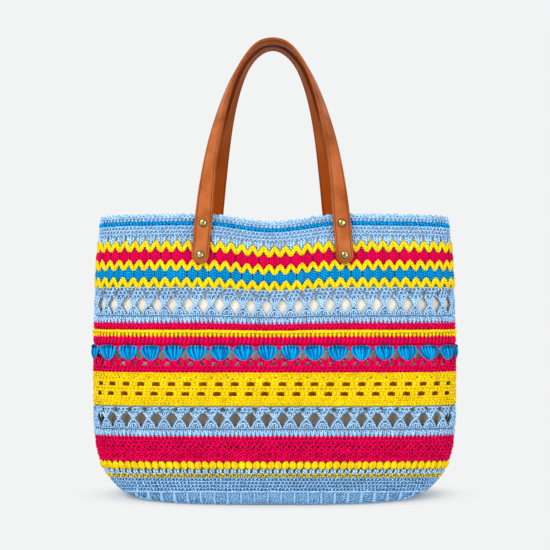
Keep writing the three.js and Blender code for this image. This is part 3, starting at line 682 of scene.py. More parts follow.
def diamond_band(name, node_name, foot, top, fan_foot, neck, tip_high, eyelet_shift, eyelet):
    """A lace band: teeth, domed fans, hanging fans, eyelets and plain rows, with real openings."""
    band = Band(name)

    def fan_width(height):
        """Half the width of the fans: wide at both ends, and narrowed to the neck in between."""
        up = np.clip((height - fan_foot) / (neck - fan_foot), 0, 1)
        down = np.clip((height - neck) / (tip_high - neck), 0, 1)
        low = NECK + DOME_SPREAD * (0.5 * (1 - up) + 0.5 * np.sqrt(1 - up**2))
        high = NECK + HANG_SPREAD * down**1.5
        return np.where(height < neck, low, high)

    def opening(along, height):
        """The diamond, and a small upright eyelet over the crown."""
        inside = (height > fan_foot + 1) & (height < tip_high)
        diamond = inside & (away_from(along, DIAMOND) > fan_width(height) - 0.5)
        beside = away_from(along, DIAMOND, 0.5 + eyelet_shift)
        return diamond | ((beside < 1.6) & (np.abs(height - eyelet) < 1.9))

    band.back(foot, top, columns=DIAMONDS * 8, rows=int((top - foot) / 1.9), open_at=opening, tone=0.34)
    fans = spots(DIAMONDS, 0.0)
    heights = np.linspace(fan_foot + 0.4, tip_high + 0.4, 9)
    for side in (-1, 1):
        rope = yarn_path(side * (fan_width(heights) - 1.0), heights, 0.9)
        band.lay(fans, rope, radius=1.05, ends=0.8, vary=0.06, tone=1.03)
    turn = np.linspace(-math.pi / 2, math.pi / 2, 7)
    dome = neck - fan_foot
    nest = yarn_path(3.6 * np.sin(turn), fan_foot + 0.8 + dome * 0.56 * np.cos(turn), 1.5)
    band.lay(fans, nest, radius=1.0, vary=0.06)
    t = np.linspace(0, 1, 3)
    for place in (-1.25, 1.25):
        leg = yarn_path(place * (1.1 - 0.3 * t), fan_foot + 0.6 + dome * 0.42 * t, 1.1)
        band.lay(fans, leg, radius=0.85, vary=0.1)
    drop = tip_high - neck
    t = np.linspace(0, 1, 4)
    for share in (-0.5, 0.0, 0.5):
        spray = yarn_path(
            share * (0.9 + 4.6 * t), neck + 0.6 + (drop - 0.2) * t, 1.1 + 0.5 * np.sin(math.pi * t),
        )
        band.lay(fans, spray, radius=[0.8, 1.0, 1.1, 1.0], vary=0.12)
    knot = yarn_path(3.0 * SPAN, [-0.3, 0.3, -0.3], [1.4, 2.0, 1.4])
    band.lay(spots(DIAMONDS, neck), knot, radius=1.05)

    def off_eyelets(along, height):
        return (away_from(along, DIAMOND, 0.5 + eyelet_shift) > 2.5) | (np.abs(height - eyelet) > 2.9)

    rows = max(2, round((top - tip_high) / 4.2))
    row_edges = np.linspace(tip_high, top - 1.0, rows + 1)
    for number, (row_foot, row_top) in enumerate(zip(row_edges[:-1], row_edges[1:])):
        plain_row(band, row_foot, row_top - 0.3, keep=off_eyelets, shift=0.2 + number / 3)
    tooth_foot, tooth_top = foot - 0.9, fan_foot - 1.5
    for side in (-1, 1):
        tooth = yarn_path(side * (0.75 + 1.2 * SPAN), (tooth_top - tooth_foot) * SPAN, [0.5, 1.3, 0.8])
        middle = (tooth_foot + tooth_top) / 2
        band.lay(spots(STITCHES, middle), tooth, radius=[1.0, 1.25, 1.05], sides=4, ends=0.8, vary=0.14)
    chain = yarn_path(STITCH * 2.1 * SPAN, 0.5 * SPAN, [0.7, 1.0, 0.7])
    band.lay(spots(STITCHES // 2, fan_foot + 0.5, 0.3), chain, radius=0.8, sides=4)
    band.finish(light_blue, node_name)


diamond_band(
    "crochet_upper_diamond_lace", "light_blue_diamond_band_upper",
    foot=195.0, top=232.6, fan_foot=202.2, neck=211.4, tip_high=220.4,
    eyelet_shift=0.2, eyelet=225.4,
)
diamond_band(
    "crochet_lower_diamond_lace", "light_blue_diamond_band_lower",
    foot=77.4, top=109.2, fan_foot=85.6, neck=94.9, tip_high=101.9,
    eyelet_shift=0.28, eyelet=105.6,
)

# %% [markdown]
# Below the upper lace run a pink, a yellow and a second pink round. Teeth of the yarn above lap over each
# of them, because a stitch goes into the row below.

# %% Stripes
pink_stripe = Band("crochet_pink_stripe")
pink_stripe.back(187.2, 195.6, columns=160, rows=2, tone=0.75)
plain_row(pink_stripe, 187.8, 192.0, lean=1.4, tone=1.08)
plain_row(pink_stripe, 191.6, 195.6, lean=1.4, shift=0.4, loop=0, tone=1.08)
pink_stripe.finish(pink_yarn, "pink_stripe")

yellow_stripe = Band("crochet_yellow_stripe")
yellow_stripe.back(181.2, 187.4, columns=160, rows=2, tone=0.7)
tooth = yarn_path(0.2 * SPAN, 4.0 * SPAN, [1.0, 1.5, 1.0])
yellow_stripe.lay(spots(STITCHES, 182.4), tooth, radius=[1.3, 1.6, 1.3], ends=0.8)
twist = yarn_path(STITCH * 1.6 * SPAN, 1.6 * SPAN, [1.5, 2.0, 1.5])
yellow_stripe.lay(spots(STITCHES, 185.9, 0.4), twist, radius=1.65, sides=6, vary=0.05)
yellow_stripe.finish(yellow_yarn, "yellow_stripe")

# %% [markdown]
# The puffs are the proudest stitches on the bag: loops of yarn drawn up long and closed together at the
# bottom, like a tulip. The cloth is open between them. A pink chain crosses behind their tops, and the
# pink yarn below climbs up to each one in small arches.

# %% Puffs and lace arches
PUFFS = 38
PUFF = PERIMETER / PUFFS
PUFF_MIDDLE = 164.4
PUFF_RISE = 16.0
PUFF_SHIFT = -0.31
pink_rows = Band("crochet_pink_rows")
pink_rows.back(171.4, 181.2, columns=160, rows=2, tone=0.75)
tall = yarn_path(2.2 * arch, 8.2 * arch, 0.5 + 0.6 * np.cos(math.pi * arch))
pink_rows.lay(spots(STITCHES, 176.8), tall, radius=[1.3, 1.6, 1.45, 1.6, 1.3], flat=0.7, ends=0.8, vary=0.12)
swag = np.linspace(-1, 1, 6)
for drop, proud in ((1.2, 0.9), (3.2, 0.5)):
    chain = yarn_path(7.6 * swag, -drop * (1 - swag**2) - 0.4 * drop, proud)
    pink_rows.lay(spots(PUFFS, 171.8, PUFF_SHIFT + 0.5), chain, radius=1.15, ends=0.9)
pink_rows.finish(pink_yarn, "pink_row_band")


def puff_gaps(along, height):
    """The cloth is closed only close behind each puff."""
    return away_from(along, PUFF, PUFF_SHIFT) > 2.2 + 0.44 * (height - 157)


puffs = Band("crochet_bright_blue_puffs")
puffs.back(158.0, 171.4, columns=418, rows=6, open_at=puff_gaps, tone=0.3)
t = np.linspace(0, 1, 7)
for share in (-1.0, -0.6, -0.2, 0.2, 0.6, 1.0):
    side = abs(share)
    spread = share * (1.9 + 7.2 * np.sin(t * math.pi / 2) ** 0.75 - 3.4 * np.clip(t - 0.75, 0, 1))
    reach_up = PUFF_RISE * (0.92 - 0.06 * side**2)
    bow = np.sin(math.pi * np.clip(t * 0.86 + 0.1, 0, 1))
    petal = yarn_path(spread, reach_up * t**0.95 - PUFF_RISE / 2, 0.7 + (1.9 - 0.5 * side) * bow)
    fat = 0.8 + 1.35 * np.sin(math.pi * (0.06 + 0.6 * t))
    puffs.lay(
        spots(PUFFS, PUFF_MIDDLE, PUFF_SHIFT), petal, radius=fat, sides=7, ends=0.85, tone=0.88, vary=0.06,
        bundle=True,
    )
# Five small loops at tone 0.3 over the petal tips are painted shade in the notches between the petals
lip = span(5)
for place in (-6.6, -3.4, 0.0, 3.4, 6.6):
    loop = yarn_path(0.3 * lip, 4.0 * lip, 2.4 + 0.9 * np.cos(math.pi * lip))
    puffs.lay(spots(PUFFS, PUFF_MIDDLE + 4.9, PUFF_SHIFT, place), loop, radius=0.75, tone=0.3)
puffs.finish(bright_blue, "bright_blue_puff_band")


def lace_gaps(along, height):
    """Two small triangles under each puff, and the foot of the opening between puffs."""
    from_puff = away_from(along, PUFF, PUFF_SHIFT)
    small = (height > 150.2) & (height < 155.8) & (np.abs(from_puff - 6.5) < 0.5 + 0.62 * (155.8 - height))
    large = (height > 155.4) & (PUFF / 2 - from_puff < 0.6 + 0.9 * (height - 155.4))
    return small | large


lace = Band("crochet_pink_lace")
lace.back(143.2, 160.0, columns=456, rows=9, open_at=lace_gaps, tone=0.6)
plain_rows(lace, 143.4, 150.8, 2, lean=1.0)
climb = np.linspace(0, 1, 5)
for side in (-1, 1):
    inner = yarn_path(side * (1.2 + 1.8 * climb), 5.0 - 8.4 * climb**1.2, 1.0)
    outer = yarn_path(side * (11.4 - 2.8 * climb**0.8), -3.4 + 7.6 * climb, 1.0)
    crest = yarn_path(side * (3.4 + 4.9 * climb), 2.6 + 2.0 * np.sin(math.pi * climb * 0.7), 1.4)
    lace.lay(spots(PUFFS, 154.0, PUFF_SHIFT), inner, radius=1.15)
    lace.lay(spots(PUFFS, 153.6, PUFF_SHIFT, side * -1.6), inner, radius=1.1)
    for lane in (0.0, 1.5):
        lace.lay(spots(PUFFS, 153.8, PUFF_SHIFT, side * lane * -0.6), outer, radius=1.0)
    lace.lay(spots(PUFFS, 154.0, PUFF_SHIFT), crest, radius=1.05)
lace.finish(pink_yarn, "pink_lace_band")

# %% [markdown]
# The yellow band has two rows of low windows, flat below and rounded above. They are real openings, with
# two legs between one window and the next and close rows above and below.

# %% Yellow windows
SLIT_WIDE = 7.9
SLIT_HIGH = 5.0
SLIT_ROWS = ((131.9, 0.5), (121.9, 0.375))
TICK_HEIGHT = 138.2


def slits(along, height):
    """Low windows, flat below and rounded above, and a row of narrow ticks over them."""
    found = (away_from(along, DIAMOND, 0.1) < 1.1) & (np.abs(height - TICK_HEIGHT) < 1.2)
    for middle, shift in SLIT_ROWS:
        up = (height - middle) / SLIT_HIGH
        corner = 1 - 0.35 * np.clip(2 * up, 0, 1)
        found |= (np.abs(up) < 0.5) & (away_from(along, DIAMOND, shift) < SLIT_WIDE / 2 * corner)
    return found


windows = Band("crochet_yellow_windows")
windows.back(109.2, 143.4, columns=DIAMONDS * 8, rows=17, open_at=slits, front=0.3, tone=0.95)
for middle, shift in SLIT_ROWS:
    for lane in (-1, 1):
        post = yarn_path(0.2 * SPAN, 5.0 * SPAN, [0.4, 0.8, 0.4])
        places = spots(DIAMONDS, middle, shift + 0.5, lane * 1.75)
        windows.lay(places, post, radius=[1.5, 1.6, 1.5], flat=0.7, ends=0.9, vary=0.05)
    sill = yarn_path(STITCH * 1.5 * SPAN, 0.6 * SPAN, [0.8, 1.2, 0.8])
    for edge_height in (middle - SLIT_HIGH / 2 - 0.5, middle + SLIT_HIGH / 2 + 0.6):
        windows.lay(spots(STITCHES, edge_height, 0.3), sill, radius=1.15, sides=4, vary=0.05)


def off_ticks(along, height):
    """False where a grain would close a tick."""
    return (away_from(along, DIAMOND, 0.1) > 2.1) | (np.abs(height - TICK_HEIGHT) > 2.6)


plain_row(windows, 135.0, 139.4, lean=0.5, radius=1.7, keep=off_ticks)
plain_row(windows, 139.2, 143.6, lean=0.5, radius=1.7, shift=0.4)
plain_row(windows, 124.8, 129.2, lean=0.4, radius=1.7, shift=0.5)
plain_rows(windows, 109.3, 119.2, 2, radius=1.7, lean=0.5)
windows.finish(yellow_yarn, "yellow_slit_band")

# %% [markdown]
# Under the lower lace lies a wide pink mesh. Its legs lean alternately left and right, and leave small
# slanting holes in staggered rows.

# %% Pink mesh
MESH_CELLS = 150
MESH_PITCH = PERIMETER / MESH_CELLS
MESH_ROWS = ((68.6, 0.0), (65.2, 0.5), (58.2, 0.25))


def mesh_holes(along, height):
    """One small cell of the ground for each hole."""
    found = np.zeros(np.shape(along), bool)
    for middle, shift in MESH_ROWS:
        found |= (away_from(along, MESH_PITCH, shift) < MESH_PITCH / 6) & (np.abs(height - middle) < 1.05)
    return found


mesh_band = Band("crochet_pink_mesh")
mesh_band.back(48.4, 77.4, columns=MESH_CELLS * 3, rows=14, open_at=mesh_holes, tone=0.7)
plain_row(mesh_band, 73.4, 77.8, lean=1.2)
plain_row(mesh_band, 69.6, 73.6, lean=-1.0, shift=0.4, loop=0.9)
t = span(4)
for middle, shift in MESH_ROWS:
    for side in (-1, 1):
        strand = yarn_path(
            side * MESH_PITCH * 0.5 * t, 4.6 * t, 0.9 + 0.6 * np.cos(math.pi * t) + side * 0.2,
        )
        mesh_band.lay(spots(MESH_CELLS, middle, shift + side * 0.27), strand, radius=1.12, sides=4, vary=0.12)
for middle in (62.2, 55.2):
    slant = yarn_path(MESH_PITCH * 0.9 * SPAN, 2.6 * SPAN, [0.8, 1.5, 0.8])
    mesh_band.lay(spots(MESH_CELLS, middle, 0.6), slant, radius=1.25, sides=4, vary=0.12)
    mesh_band.lay(spots(MESH_CELLS, middle - 1.4, 0.1), slant * [-1, 1, 1], radius=1.15, sides=4, vary=0.12)
mesh_band.lay(spots(MESH_CELLS, 52.4, 0.5), slant * [1, 0.5, 1], radius=1.2)
mesh_band.finish(pink_yarn, "pink_mesh_band")

# %% [markdown]
# Near the bottom a round of small yellow puffs leans left and right in turn, over light blue posts, a
# dotted yellow line and rows of single crochet that end in a ribbed base.

# %% Yellow puffs, posts and dotted line
SMALL_PUFFS = 116
small_puffs = Band("crochet_yellow_puffs")
small_puffs.back(41.6, 48.6, columns=180, rows=2, tone=0.16)
t = span(6)
for lean_side in (-1, 1):
    places = spots(SMALL_PUFFS // 2, 46.6, 0.25 * lean_side)
    body = yarn_path(lean_side * -1.1 * t, 8.2 * t, 0.6 + 0.9 * np.cos(math.pi * t))
    fat = 2.0 + 2.05 * np.cos(math.pi * t) ** 0.6
    small_puffs.lay(places, body, radius=fat, sides=8, flat=0.5, tone=0.95, vary=0.03, bundle=True)
    for spread in (-1, 0, 1):
        strand = yarn_path(
            lean_side * -1.1 * t + spread * (1.1 + 1.5 * np.cos(math.pi * t)),
            (9.2 - abs(spread)) * t, 1.0 + 1.6 * np.cos(math.pi * t) - 0.4 * abs(spread),
        )
        small_puffs.lay(places, strand, radius=1.25, vary=0.05)
small_puffs.finish(yellow_yarn, "yellow_puff_row")

posts = Band("crochet_light_blue_posts")
posts.back(37.6, 42.4, columns=180, rows=1, tone=0.16)
stub = yarn_path(0.3 * SPAN, 5.2 * SPAN, [0.8, 1.4, 0.8])
for lane in (-1.5, 1.5):
    posts.lay(spots(SMALL_PUFFS, 39.6, 0.25, lane), stub, radius=[1.4, 1.6, 1.4], ends=0.9)
posts.finish(light_blue, "light_blue_post_row")

dots = Band("crochet_yellow_dotted_line")
dots.back(33.2, 38.2, columns=180, rows=1, tone=0.4)
bead = yarn_path(1.6 * SPAN, 1.0 * SPAN, [1.2, 1.7, 1.2])
dots.lay(spots(SMALL_PUFFS, 37.4, 0.75), bead, radius=1.45, sides=6)
for place in (-2.4, 0.0, 2.4):
    lower = spots(SMALL_PUFFS, 34.6 + 0.25 * abs(place), 0.25, place)
    dots.lay(lower, bead * [0.8, 0.8, 1], radius=1.0)
dots.finish(yellow_yarn, "yellow_dotted_line")

hem = Band("crochet_light_blue_hem")
hem.back(17.0, 33.8, columns=160, rows=3, tone=0.28)
plain_rows(hem, 18.9, 33.6, 4, radius=1.3, loop=0.75, vary=0.2)
hem.finish(darker_light_blue, "light_blue_hem")

# %% [markdown]
# The base is one flat oval with a ribbed wall. Rounds of tight stitches close in towards the bottom, and
# every few stitches a raised line runs down and in, which gives the ribs.

# %% Ribbed base
RIBS = 44
RIB_PITCH = 14.0
RIB_FOOT = 2.6
BASE_RIM = 17.2
BASE_FLOOR = 2.6
WALL_SPREAD = 0.45 * BASE_RIM
BASE_ROWS = np.arange(3.4, 14.5, 2.7)
RIB_HEIGHTS = np.linspace(RIB_FOOT, 17.4, 7)
RIB_STEPS = 400


def base_surface():
    """The underside and its wall as one closed skin: rings from the centre out, up, over and back in."""
    columns = 200
    along = np.arange(columns) / columns * PERIMETER
    wall_heights = np.linspace(0, BASE_RIM, 7)
    rings = []
    flat = middle_of_cloth(along, np.zeros(columns)) * MM
    for share in (0.3, 0.65, 0.93):
        rings.append(flat * [share, share, 0])
    for height in wall_heights:
        rings.append(cloth(along, height, 0.1 * min(1.0, height / WALL_SPREAD)))
    for height in wall_heights[:0:-1]:
        rings.append(cloth(along, height, 1.2 * min(1.0, height / WALL_SPREAD) - 2.9))
    for share in (0.93, 0.65, 0.3):
        rings.append(flat * [share, share, 0] + [0, 0, BASE_FLOOR * MM])
    return closed_rings(rings, [0, 0, 0], [0, 0, BASE_FLOOR * MM])


base = Band("crochet_ribbed_base")
base_points, base_quads, base_tris = base_surface()
# The base's skin is darkened to tone 0.78, painted shade behind its grains and ribs
base.add_skin(base_points, base_quads, 0.78, base_tris)
# The edge loop is lightened to tone 1.2, a painted highlight along its raised line
edge_loop = yarn_path(STITCH * 1.35 * SPAN, 0.5 * SPAN, [1.2, 1.6, 1.2])
base.lay(spots(STITCHES, 18.0, 0.2), edge_loop, radius=1.2, tone=1.2)


def above_floor(along, height):
    """True where the cloth lies more than 1 mm above the floor."""
    return middle_of_cloth(along, height)[:, 2] > 1.0


for number, height in enumerate(BASE_ROWS):
    grain = yarn_path(STITCH * 0.75 * SPAN, 0.7 * SPAN, [0.3, 0.7, 0.3])
    places = spots(STITCHES, height, number * 0.37, keep=above_floor)
    base.lay(places, grain, radius=1.25, sides=4, flat=0.5, tone=0.85, vary=0.12)
front_along = np.linspace(-PERIMETER / 4, PERIMETER / 4, RIB_STEPS)
rib_paths = []
for x in (np.arange(-RIBS / 4, RIBS / 4) + 0.5) * RIB_PITCH:
    # A rib stays upright in space, so its place along the row is looked up afresh at every height
    across_front = [middle_of_cloth(front_along, np.full(RIB_STEPS, height))[:, 0] for height in RIB_HEIGHTS]
    inside = [np.clip(x, 0.94 * row[0], 0.94 * row[-1]) for row in across_front]
    along_rib = np.array([np.interp(at, row, front_along) for at, row in zip(inside, across_front)])
    rib_proud = 0.5 + 0.9 * np.clip((RIB_HEIGHTS - RIB_FOOT) / 6, 0, 1)
    for rib_along in (along_rib, PERIMETER / 2 - along_rib):
        rib_paths.append(yarn_path(rib_along, RIB_HEIGHTS, rib_proud))
# The ribs are lightened to tone 1.3, a painted highlight along the raised lines
base.lay(np.zeros((len(rib_paths), 2)), np.array(rib_paths), radius=1.2, tone=1.3, jitter=0.05, vary=0.03)
base.finish(darker_light_blue, "ribbed_base")
print("yarn in all:", sum(TRIANGLES), "triangles")

# %% [markdown]
# The handles are two flat leather straps. Each leg leaves the wall upright, leans back over the mouth and
# turns on edge at the crown, where the front strap meets the rear one. The outline is the same bent bar as
# the solid's, with many more stations and softer edges.

# %% Straps
STRAP_WIDTH = 18.0
STRAP_THICKNESS = 3.6
STRAP_SEAT = 0.3
FOOT_SPACING = 141.0
FOOT_LEAN = 0.09
HANDLE_RISE = 203.0
LEG_STIFFNESS = 138.0
CROWN_STIFFNESS = 35.0
CROWN_GAP = 0.6
TWIST_EARLY = 1.3
RIVET_DROP = 10.0
RIVET_PITCH = 32.5
STRAP_TAIL = 9.5
CLUSTER_BULGE = 1.2
CLOTH_HALF = 1.5
RIM_EDGE = 306.8
CURVE_STEPS = 400
LEG_STEPS = 140
FOOT_STEPS = 30
UPPER_RIVET = RIM_EDGE - RIVET_DROP
LOWER_RIVET = UPPER_RIVET - RIVET_PITCH * math.cos(FOOT_LEAN)
STRAP_BACK = abs(float(cloth(0.0, LOWER_RIVET, CLOTH_HALF + CLUSTER_BULGE)[1])) / MM + STRAP_SEAT
STRAP_MIDDLE = STRAP_BACK + STRAP_THICKNESS / 2
STRAP_FRONT = STRAP_BACK + STRAP_THICKNESS
print("back of the straps at", round(STRAP_BACK, 2), "mm from the middle")


def between_points(at, run, points):
    """Places on a line at the distances at, when its points lie at the distances run."""
    return np.stack([np.interp(at, run, points[:, k]) for k in range(3)], axis=-1)


def strap_line():
    """Centre line from the right foot over the crown to the left foot, with its directions at every point.

    Each leg is a cubic curve from the upper rivet to the crown: (1-s)^3 P0 + 3 (1-s)^2 s P1 + 3 (1-s) s^2 P2
    + s^3 P3. The twist grows early: a quarter turn times (1 - exp(-1.3 s)) / (1 - exp(-1.3)). Returned are
    the places, the directions across the strap and out of its face, and the length run so far."""
    down = np.array([math.sin(FOOT_LEAN), 0, -math.cos(FOOT_LEAN)])
    fixing = np.array([FOOT_SPACING / 2, -STRAP_MIDDLE, UPPER_RIVET])
    crown = np.array([0, -(STRAP_WIDTH + CROWN_GAP) / 2, UPPER_RIVET + HANDLE_RISE])
    pull = [fixing, fixing - down * LEG_STIFFNESS, crown + [CROWN_STIFFNESS, 0, 0], crown]
    s = np.linspace(0, 1, CURVE_STEPS)[:, None]
    shares = ((1 - s)**3, 3 * (1 - s)**2 * s, 3 * (1 - s) * s**2, s**3)
    curve = sum(share * point for share, point in zip(shares, pull))
    run = run_along(curve)
    even = np.linspace(0, run[-1], LEG_STEPS)
    leg = between_points(even, run, curve)
    foot_run = RIVET_PITCH + STRAP_TAIL
    foot = fixing + down * np.linspace(foot_run, 0, FOOT_STEPS)[:-1, None]
    half = np.concatenate([foot, leg])
    share = np.concatenate([np.zeros(FOOT_STEPS - 1), even / run[-1]])
    whole = np.concatenate([half, half[:-1][::-1] * [-1, 1, 1]])
    share = np.concatenate([share, share[:-1][::-1]])
    tangent = np.gradient(whole, axis=0)
    tangent /= np.linalg.norm(tangent, axis=1, keepdims=True)
    forward = np.array([0.0, -1.0, 0.0])
    facing = forward - tangent * (tangent @ forward)[:, None]
    facing /= np.linalg.norm(facing, axis=1, keepdims=True)
    inward = np.cross(facing, tangent)
    turned = math.pi / 2 * (1 - np.exp(-TWIST_EARLY * share)) / (1 - math.exp(-TWIST_EARLY))
    across = inward * np.cos(turned)[:, None] + facing * np.sin(turned)[:, None]
    out = np.cross(tangent, across)
    return whole + [HANDLE_OFFSET, 0, 0], across, out, run_along(whole)


strap_places, strap_across, strap_out, strap_run = strap_line()
STRAP_LENGTH = strap_run[-1]
print("strap length:", round(STRAP_LENGTH), "mm")


# Towards the crown the two straps lean closer together than the stiff bars of the solids do
LEAN_IN = 8.0
LEAN_FOOT, LEAN_GROWS = 370, 75
LEAN_TOP, LEAN_FADES = 501, 28
strap_rise = strap_places[:, 2]
lean_start = np.clip((strap_rise - LEAN_FOOT) / LEAN_GROWS, 0, 1)
lean_end = np.clip((LEAN_TOP - strap_rise) / LEAN_FADES, 0, 1)
strap_lean = LEAN_IN * (3 * lean_start**2 - 2 * lean_start**3) * (3 * lean_end**2 - 2 * lean_end**3)


def on_strap(run, u, w):
    """A point of the front strap: run along it, u across it and w out of its middle, in millimetres."""
    run, u, w = np.broadcast_arrays(run, u, w)
    tables = (strap_places, strap_across, strap_out)
    middle, across, out = (between_points(run, strap_run, table) for table in tables)
    points = middle + across * u[..., None] + out * w[..., None]
    points[..., 1] += np.interp(run, strap_run, strap_lean)
    return points * MM


EDGE_SOFT = 1.1
FACE_POINTS = 15
flat_u = np.linspace(-1, 1, FACE_POINTS)
arc = np.linspace(0, math.pi / 2, 4)
# The legs are a little broader from 370 mm up, on the front strap's inner and the rear strap's outer side
SWELL_FRONT = 1.6
SWELL_REAR = 1.2
SWELL_FOOT, SWELL_LENGTH = 370, 130
# On the sides the leather takes the dark tint of a burnished edge, and near the crown one side and the edge
# of the rear face beside it take it fully, as painted shade in the gap between the straps
SIDE_EDGE_MM = 0.62
CROWN_DARK_FOOT, CROWN_DARK_GROWS = 400, 40
INNER_DARK_TOP, INNER_DARK_FADES = 345, 110
LENGTH_STEPS = 160


def strap_section(half_width):
    """The bar's outline, anticlockwise: a flat face, round edges of 1.1 mm, and the back."""
    soft = min(EDGE_SOFT, half_width * 0.45)
    thick = STRAP_THICKNESS / 2
    inner = half_width - soft
    front = np.stack([flat_u[::-1] * inner, np.full(FACE_POINTS, thick)], -1)
    left = np.stack([-inner - soft * np.sin(arc[1:-1]), thick - soft + soft * np.cos(arc[1:-1])], -1)
    left = np.concatenate([left, [[-half_width, thick - soft], [-half_width, soft - thick]]])
    low = np.stack([-inner - soft * np.cos(arc[1:-1]), soft - thick - soft * np.sin(arc[1:-1])], -1)
    rear = np.stack([flat_u * inner, np.full(FACE_POINTS, -thick)], -1)
    right = -left
    high = -low
    return np.concatenate([front, left, low, rear, right, high])


def strap_mesh(name, mirrored):
    """One strap with round ends; every point keeps its distance from the edge and its painted shade."""
    end = STRAP_WIDTH / 2
    turns = np.radians([12, 24, 36, 48, 60, 72, 82])
    tip_runs = end * (1 - np.cos(turns))
    middle_runs = np.linspace(end, STRAP_LENGTH - end, LENGTH_STEPS)
    runs = np.concatenate([tip_runs, middle_runs, STRAP_LENGTH - tip_runs[::-1]])
    halves = np.concatenate([end * np.sin(turns), np.full(LENGTH_STEPS, end), end * np.sin(turns[::-1])])
    heights = np.interp(runs, strap_run, strap_places[:, 2])
    swell = np.sin(math.pi * np.clip((heights - SWELL_FOOT) / SWELL_LENGTH, 0, 1)) ** 0.4
    rings, edge, inner, uv = [], [], [], []
    for run, half, height, wide in zip(runs, halves, heights, swell):
        section = strap_section(half)
        if mirrored:
            section[:, 0] += SWELL_REAR * wide * np.clip(section[:, 0] / end, -1, 0)
        else:
            section[:, 0] += SWELL_FRONT * wide * np.clip(section[:, 0] / end, 0, 1)
        rings.append(on_strap(run, section[:, 0], section[:, 1]))
        from_end = end - min(run, STRAP_LENGTH - run, end)
        from_middle = np.hypot(section[:, 0], from_end)
        on_face = np.abs(section[:, 1]) > STRAP_THICKNESS / 2 - 0.9
        # Near the crown one side and the rear face along it take the darkest edge value: painted shade
        # between the straps
        by_crown = np.clip((height - CROWN_DARK_FOOT) / CROWN_DARK_GROWS, 0, 1)
        darkest = (SIDE_EDGE_MM + 1) * by_crown
        side = np.where(section[:, 0] < 0, SIDE_EDGE_MM - darkest, SIDE_EDGE_MM)
        by_gap = on_face & (section[:, 0] < 3.4 - end) & (section[:, 1] < 0)
        face = np.maximum(end - from_middle, 0.5)
        edge.append(np.where(on_face, np.where(by_gap, face * (1 - by_crown), face), side))
        # The inner face is painted in shade: fully up to 345 mm, and half from 400 mm up
        shaded = np.clip(1 - (height - INNER_DARK_TOP) / INNER_DARK_FADES, 0.5, 1)
        inner.append(np.where(section[:, 1] < -0.5, shaded, 0.0))
        uv.append(np.stack([np.full(len(section), run), section[:, 0]], -1))
    points, quads, tris = closed_rings(rings, on_strap(0.0, 0.0, 0.0), on_strap(STRAP_LENGTH, 0.0, 0.0))
    edge = np.concatenate(edge + [[-1.0], [-1.0]])
    inner = np.concatenate(inner + [[0.0], [0.0]])
    uv = np.concatenate(uv + [[[0, 0]], [[STRAP_LENGTH, 0]]])
    if mirrored:
        points = points * [1, -1, 1]
        quads, tris = quads[:, ::-1], tris[:, ::-1]
    piece = add_mesh(name, points, quads, tris, uv[quads], uv[tris])
    point_values(piece.data, "edge_mm_and_crown_shade", edge)
    point_values(piece.data, "inner_face_shade", inner)
    return piece


# %% [markdown]
# The leather is darker along its burnished edges and in the stitching groove. The faces that look at one
# another are darker as painted shade, and so is the gap between the straps at the crown. Two numbers kept at
# every point
# of a strap steer that: how far it is from the strap's edge, with the painted shade at the crown mixed in,
# and how deep it lies in the painted shade between the two straps.

# %% Leather
def leather_material(name, tint_low, tint, tint_high, burnish_and_shade_tint, inner_shade_tint):
    """Tanned leather: tone in broad patches, fine pores, a burnished edge, and painted shade on the inner
    face and at the crown.
    """
    material, tree, shader = new_material(name, {
        "Roughness": 0.34, "Specular IOR Level": 0.02, "Specular Tint": linear("#ffd2ae"),
    })
    place = node(tree, "ShaderNodeTexCoord").outputs["Object"]
    broad = node(tree, "ShaderNodeTexNoise", {"Vector": place, "Scale": 45.0, "Detail": 4.0})
    pores = node(tree, "ShaderNodeTexVoronoi", {"Vector": place, "Scale": 1500.0})
    grain = node(tree, "ShaderNodeTexNoise", {"Vector": place, "Scale": 420.0, "Detail": 5.0})
    ramp = node(tree, "ShaderNodeValToRGB", {0: broad.outputs[0]})
    ramp.color_ramp.elements[0].color = linear(tint_low)
    ramp.color_ramp.elements[0].position = 0.3
    ramp.color_ramp.elements[1].color = linear(tint_high)
    ramp.color_ramp.elements[1].position = 0.72
    body = ramp.color_ramp.elements.new(0.5)
    body.color = linear(tint)
    edge = node(tree, "ShaderNodeAttribute", attribute_name="edge_mm_and_crown_shade")
    burnish = node(tree, "ShaderNodeMapRange", {0: edge.outputs["Fac"], 1: 0.9, 2: 0.1, 3: 0.0, 4: 0.85})
    crease = node(tree, "ShaderNodeMath", {0: edge.outputs["Fac"], 1: 2.2}, operation="SUBTRACT")
    crease_away = node(tree, "ShaderNodeMath", {0: crease.outputs[0]}, operation="ABSOLUTE")
    groove = node(tree, "ShaderNodeMapRange", {0: crease_away.outputs[0], 1: 0.75, 2: 0.2, 3: 0.0, 4: 0.7})
    dark = node(tree, "ShaderNodeMath", {0: burnish.outputs[0], 1: groove.outputs[0]}, operation="MAXIMUM")
    inside = node(tree, "ShaderNodeAttribute", attribute_name="inner_face_shade")
    faces = node(tree, "ShaderNodeMix", {
        0: inside.outputs["Fac"], 6: ramp.outputs[0], 7: linear(inner_shade_tint),
    }, data_type="RGBA")
    mix = node(tree, "ShaderNodeMix", {6: faces.outputs[2], 7: linear(burnish_and_shade_tint)}, data_type="RGBA")
    tree.links.new(dark.outputs[0], mix.inputs[0])
    tree.links.new(mix.outputs[2], shader.inputs["Base Color"])
    sunk = node(tree, "ShaderNodeMath", {0: groove.outputs[0], 1: -2.0}, operation="MULTIPLY")
    rough = node(tree, "ShaderNodeMath", {0: grain.outputs[0], 1: pores.outputs[0]}, operation="ADD")
    relief = node(tree, "ShaderNodeMath", {0: rough.outputs[0], 1: sunk.outputs[0]}, operation="ADD")
    bump = node(tree, "ShaderNodeBump", {"Strength": 0.35, "Distance": 0.0003, "Height": relief.outputs[0]})
    tree.links.new(bump.outputs[0], shader.inputs["Normal"])
    return material


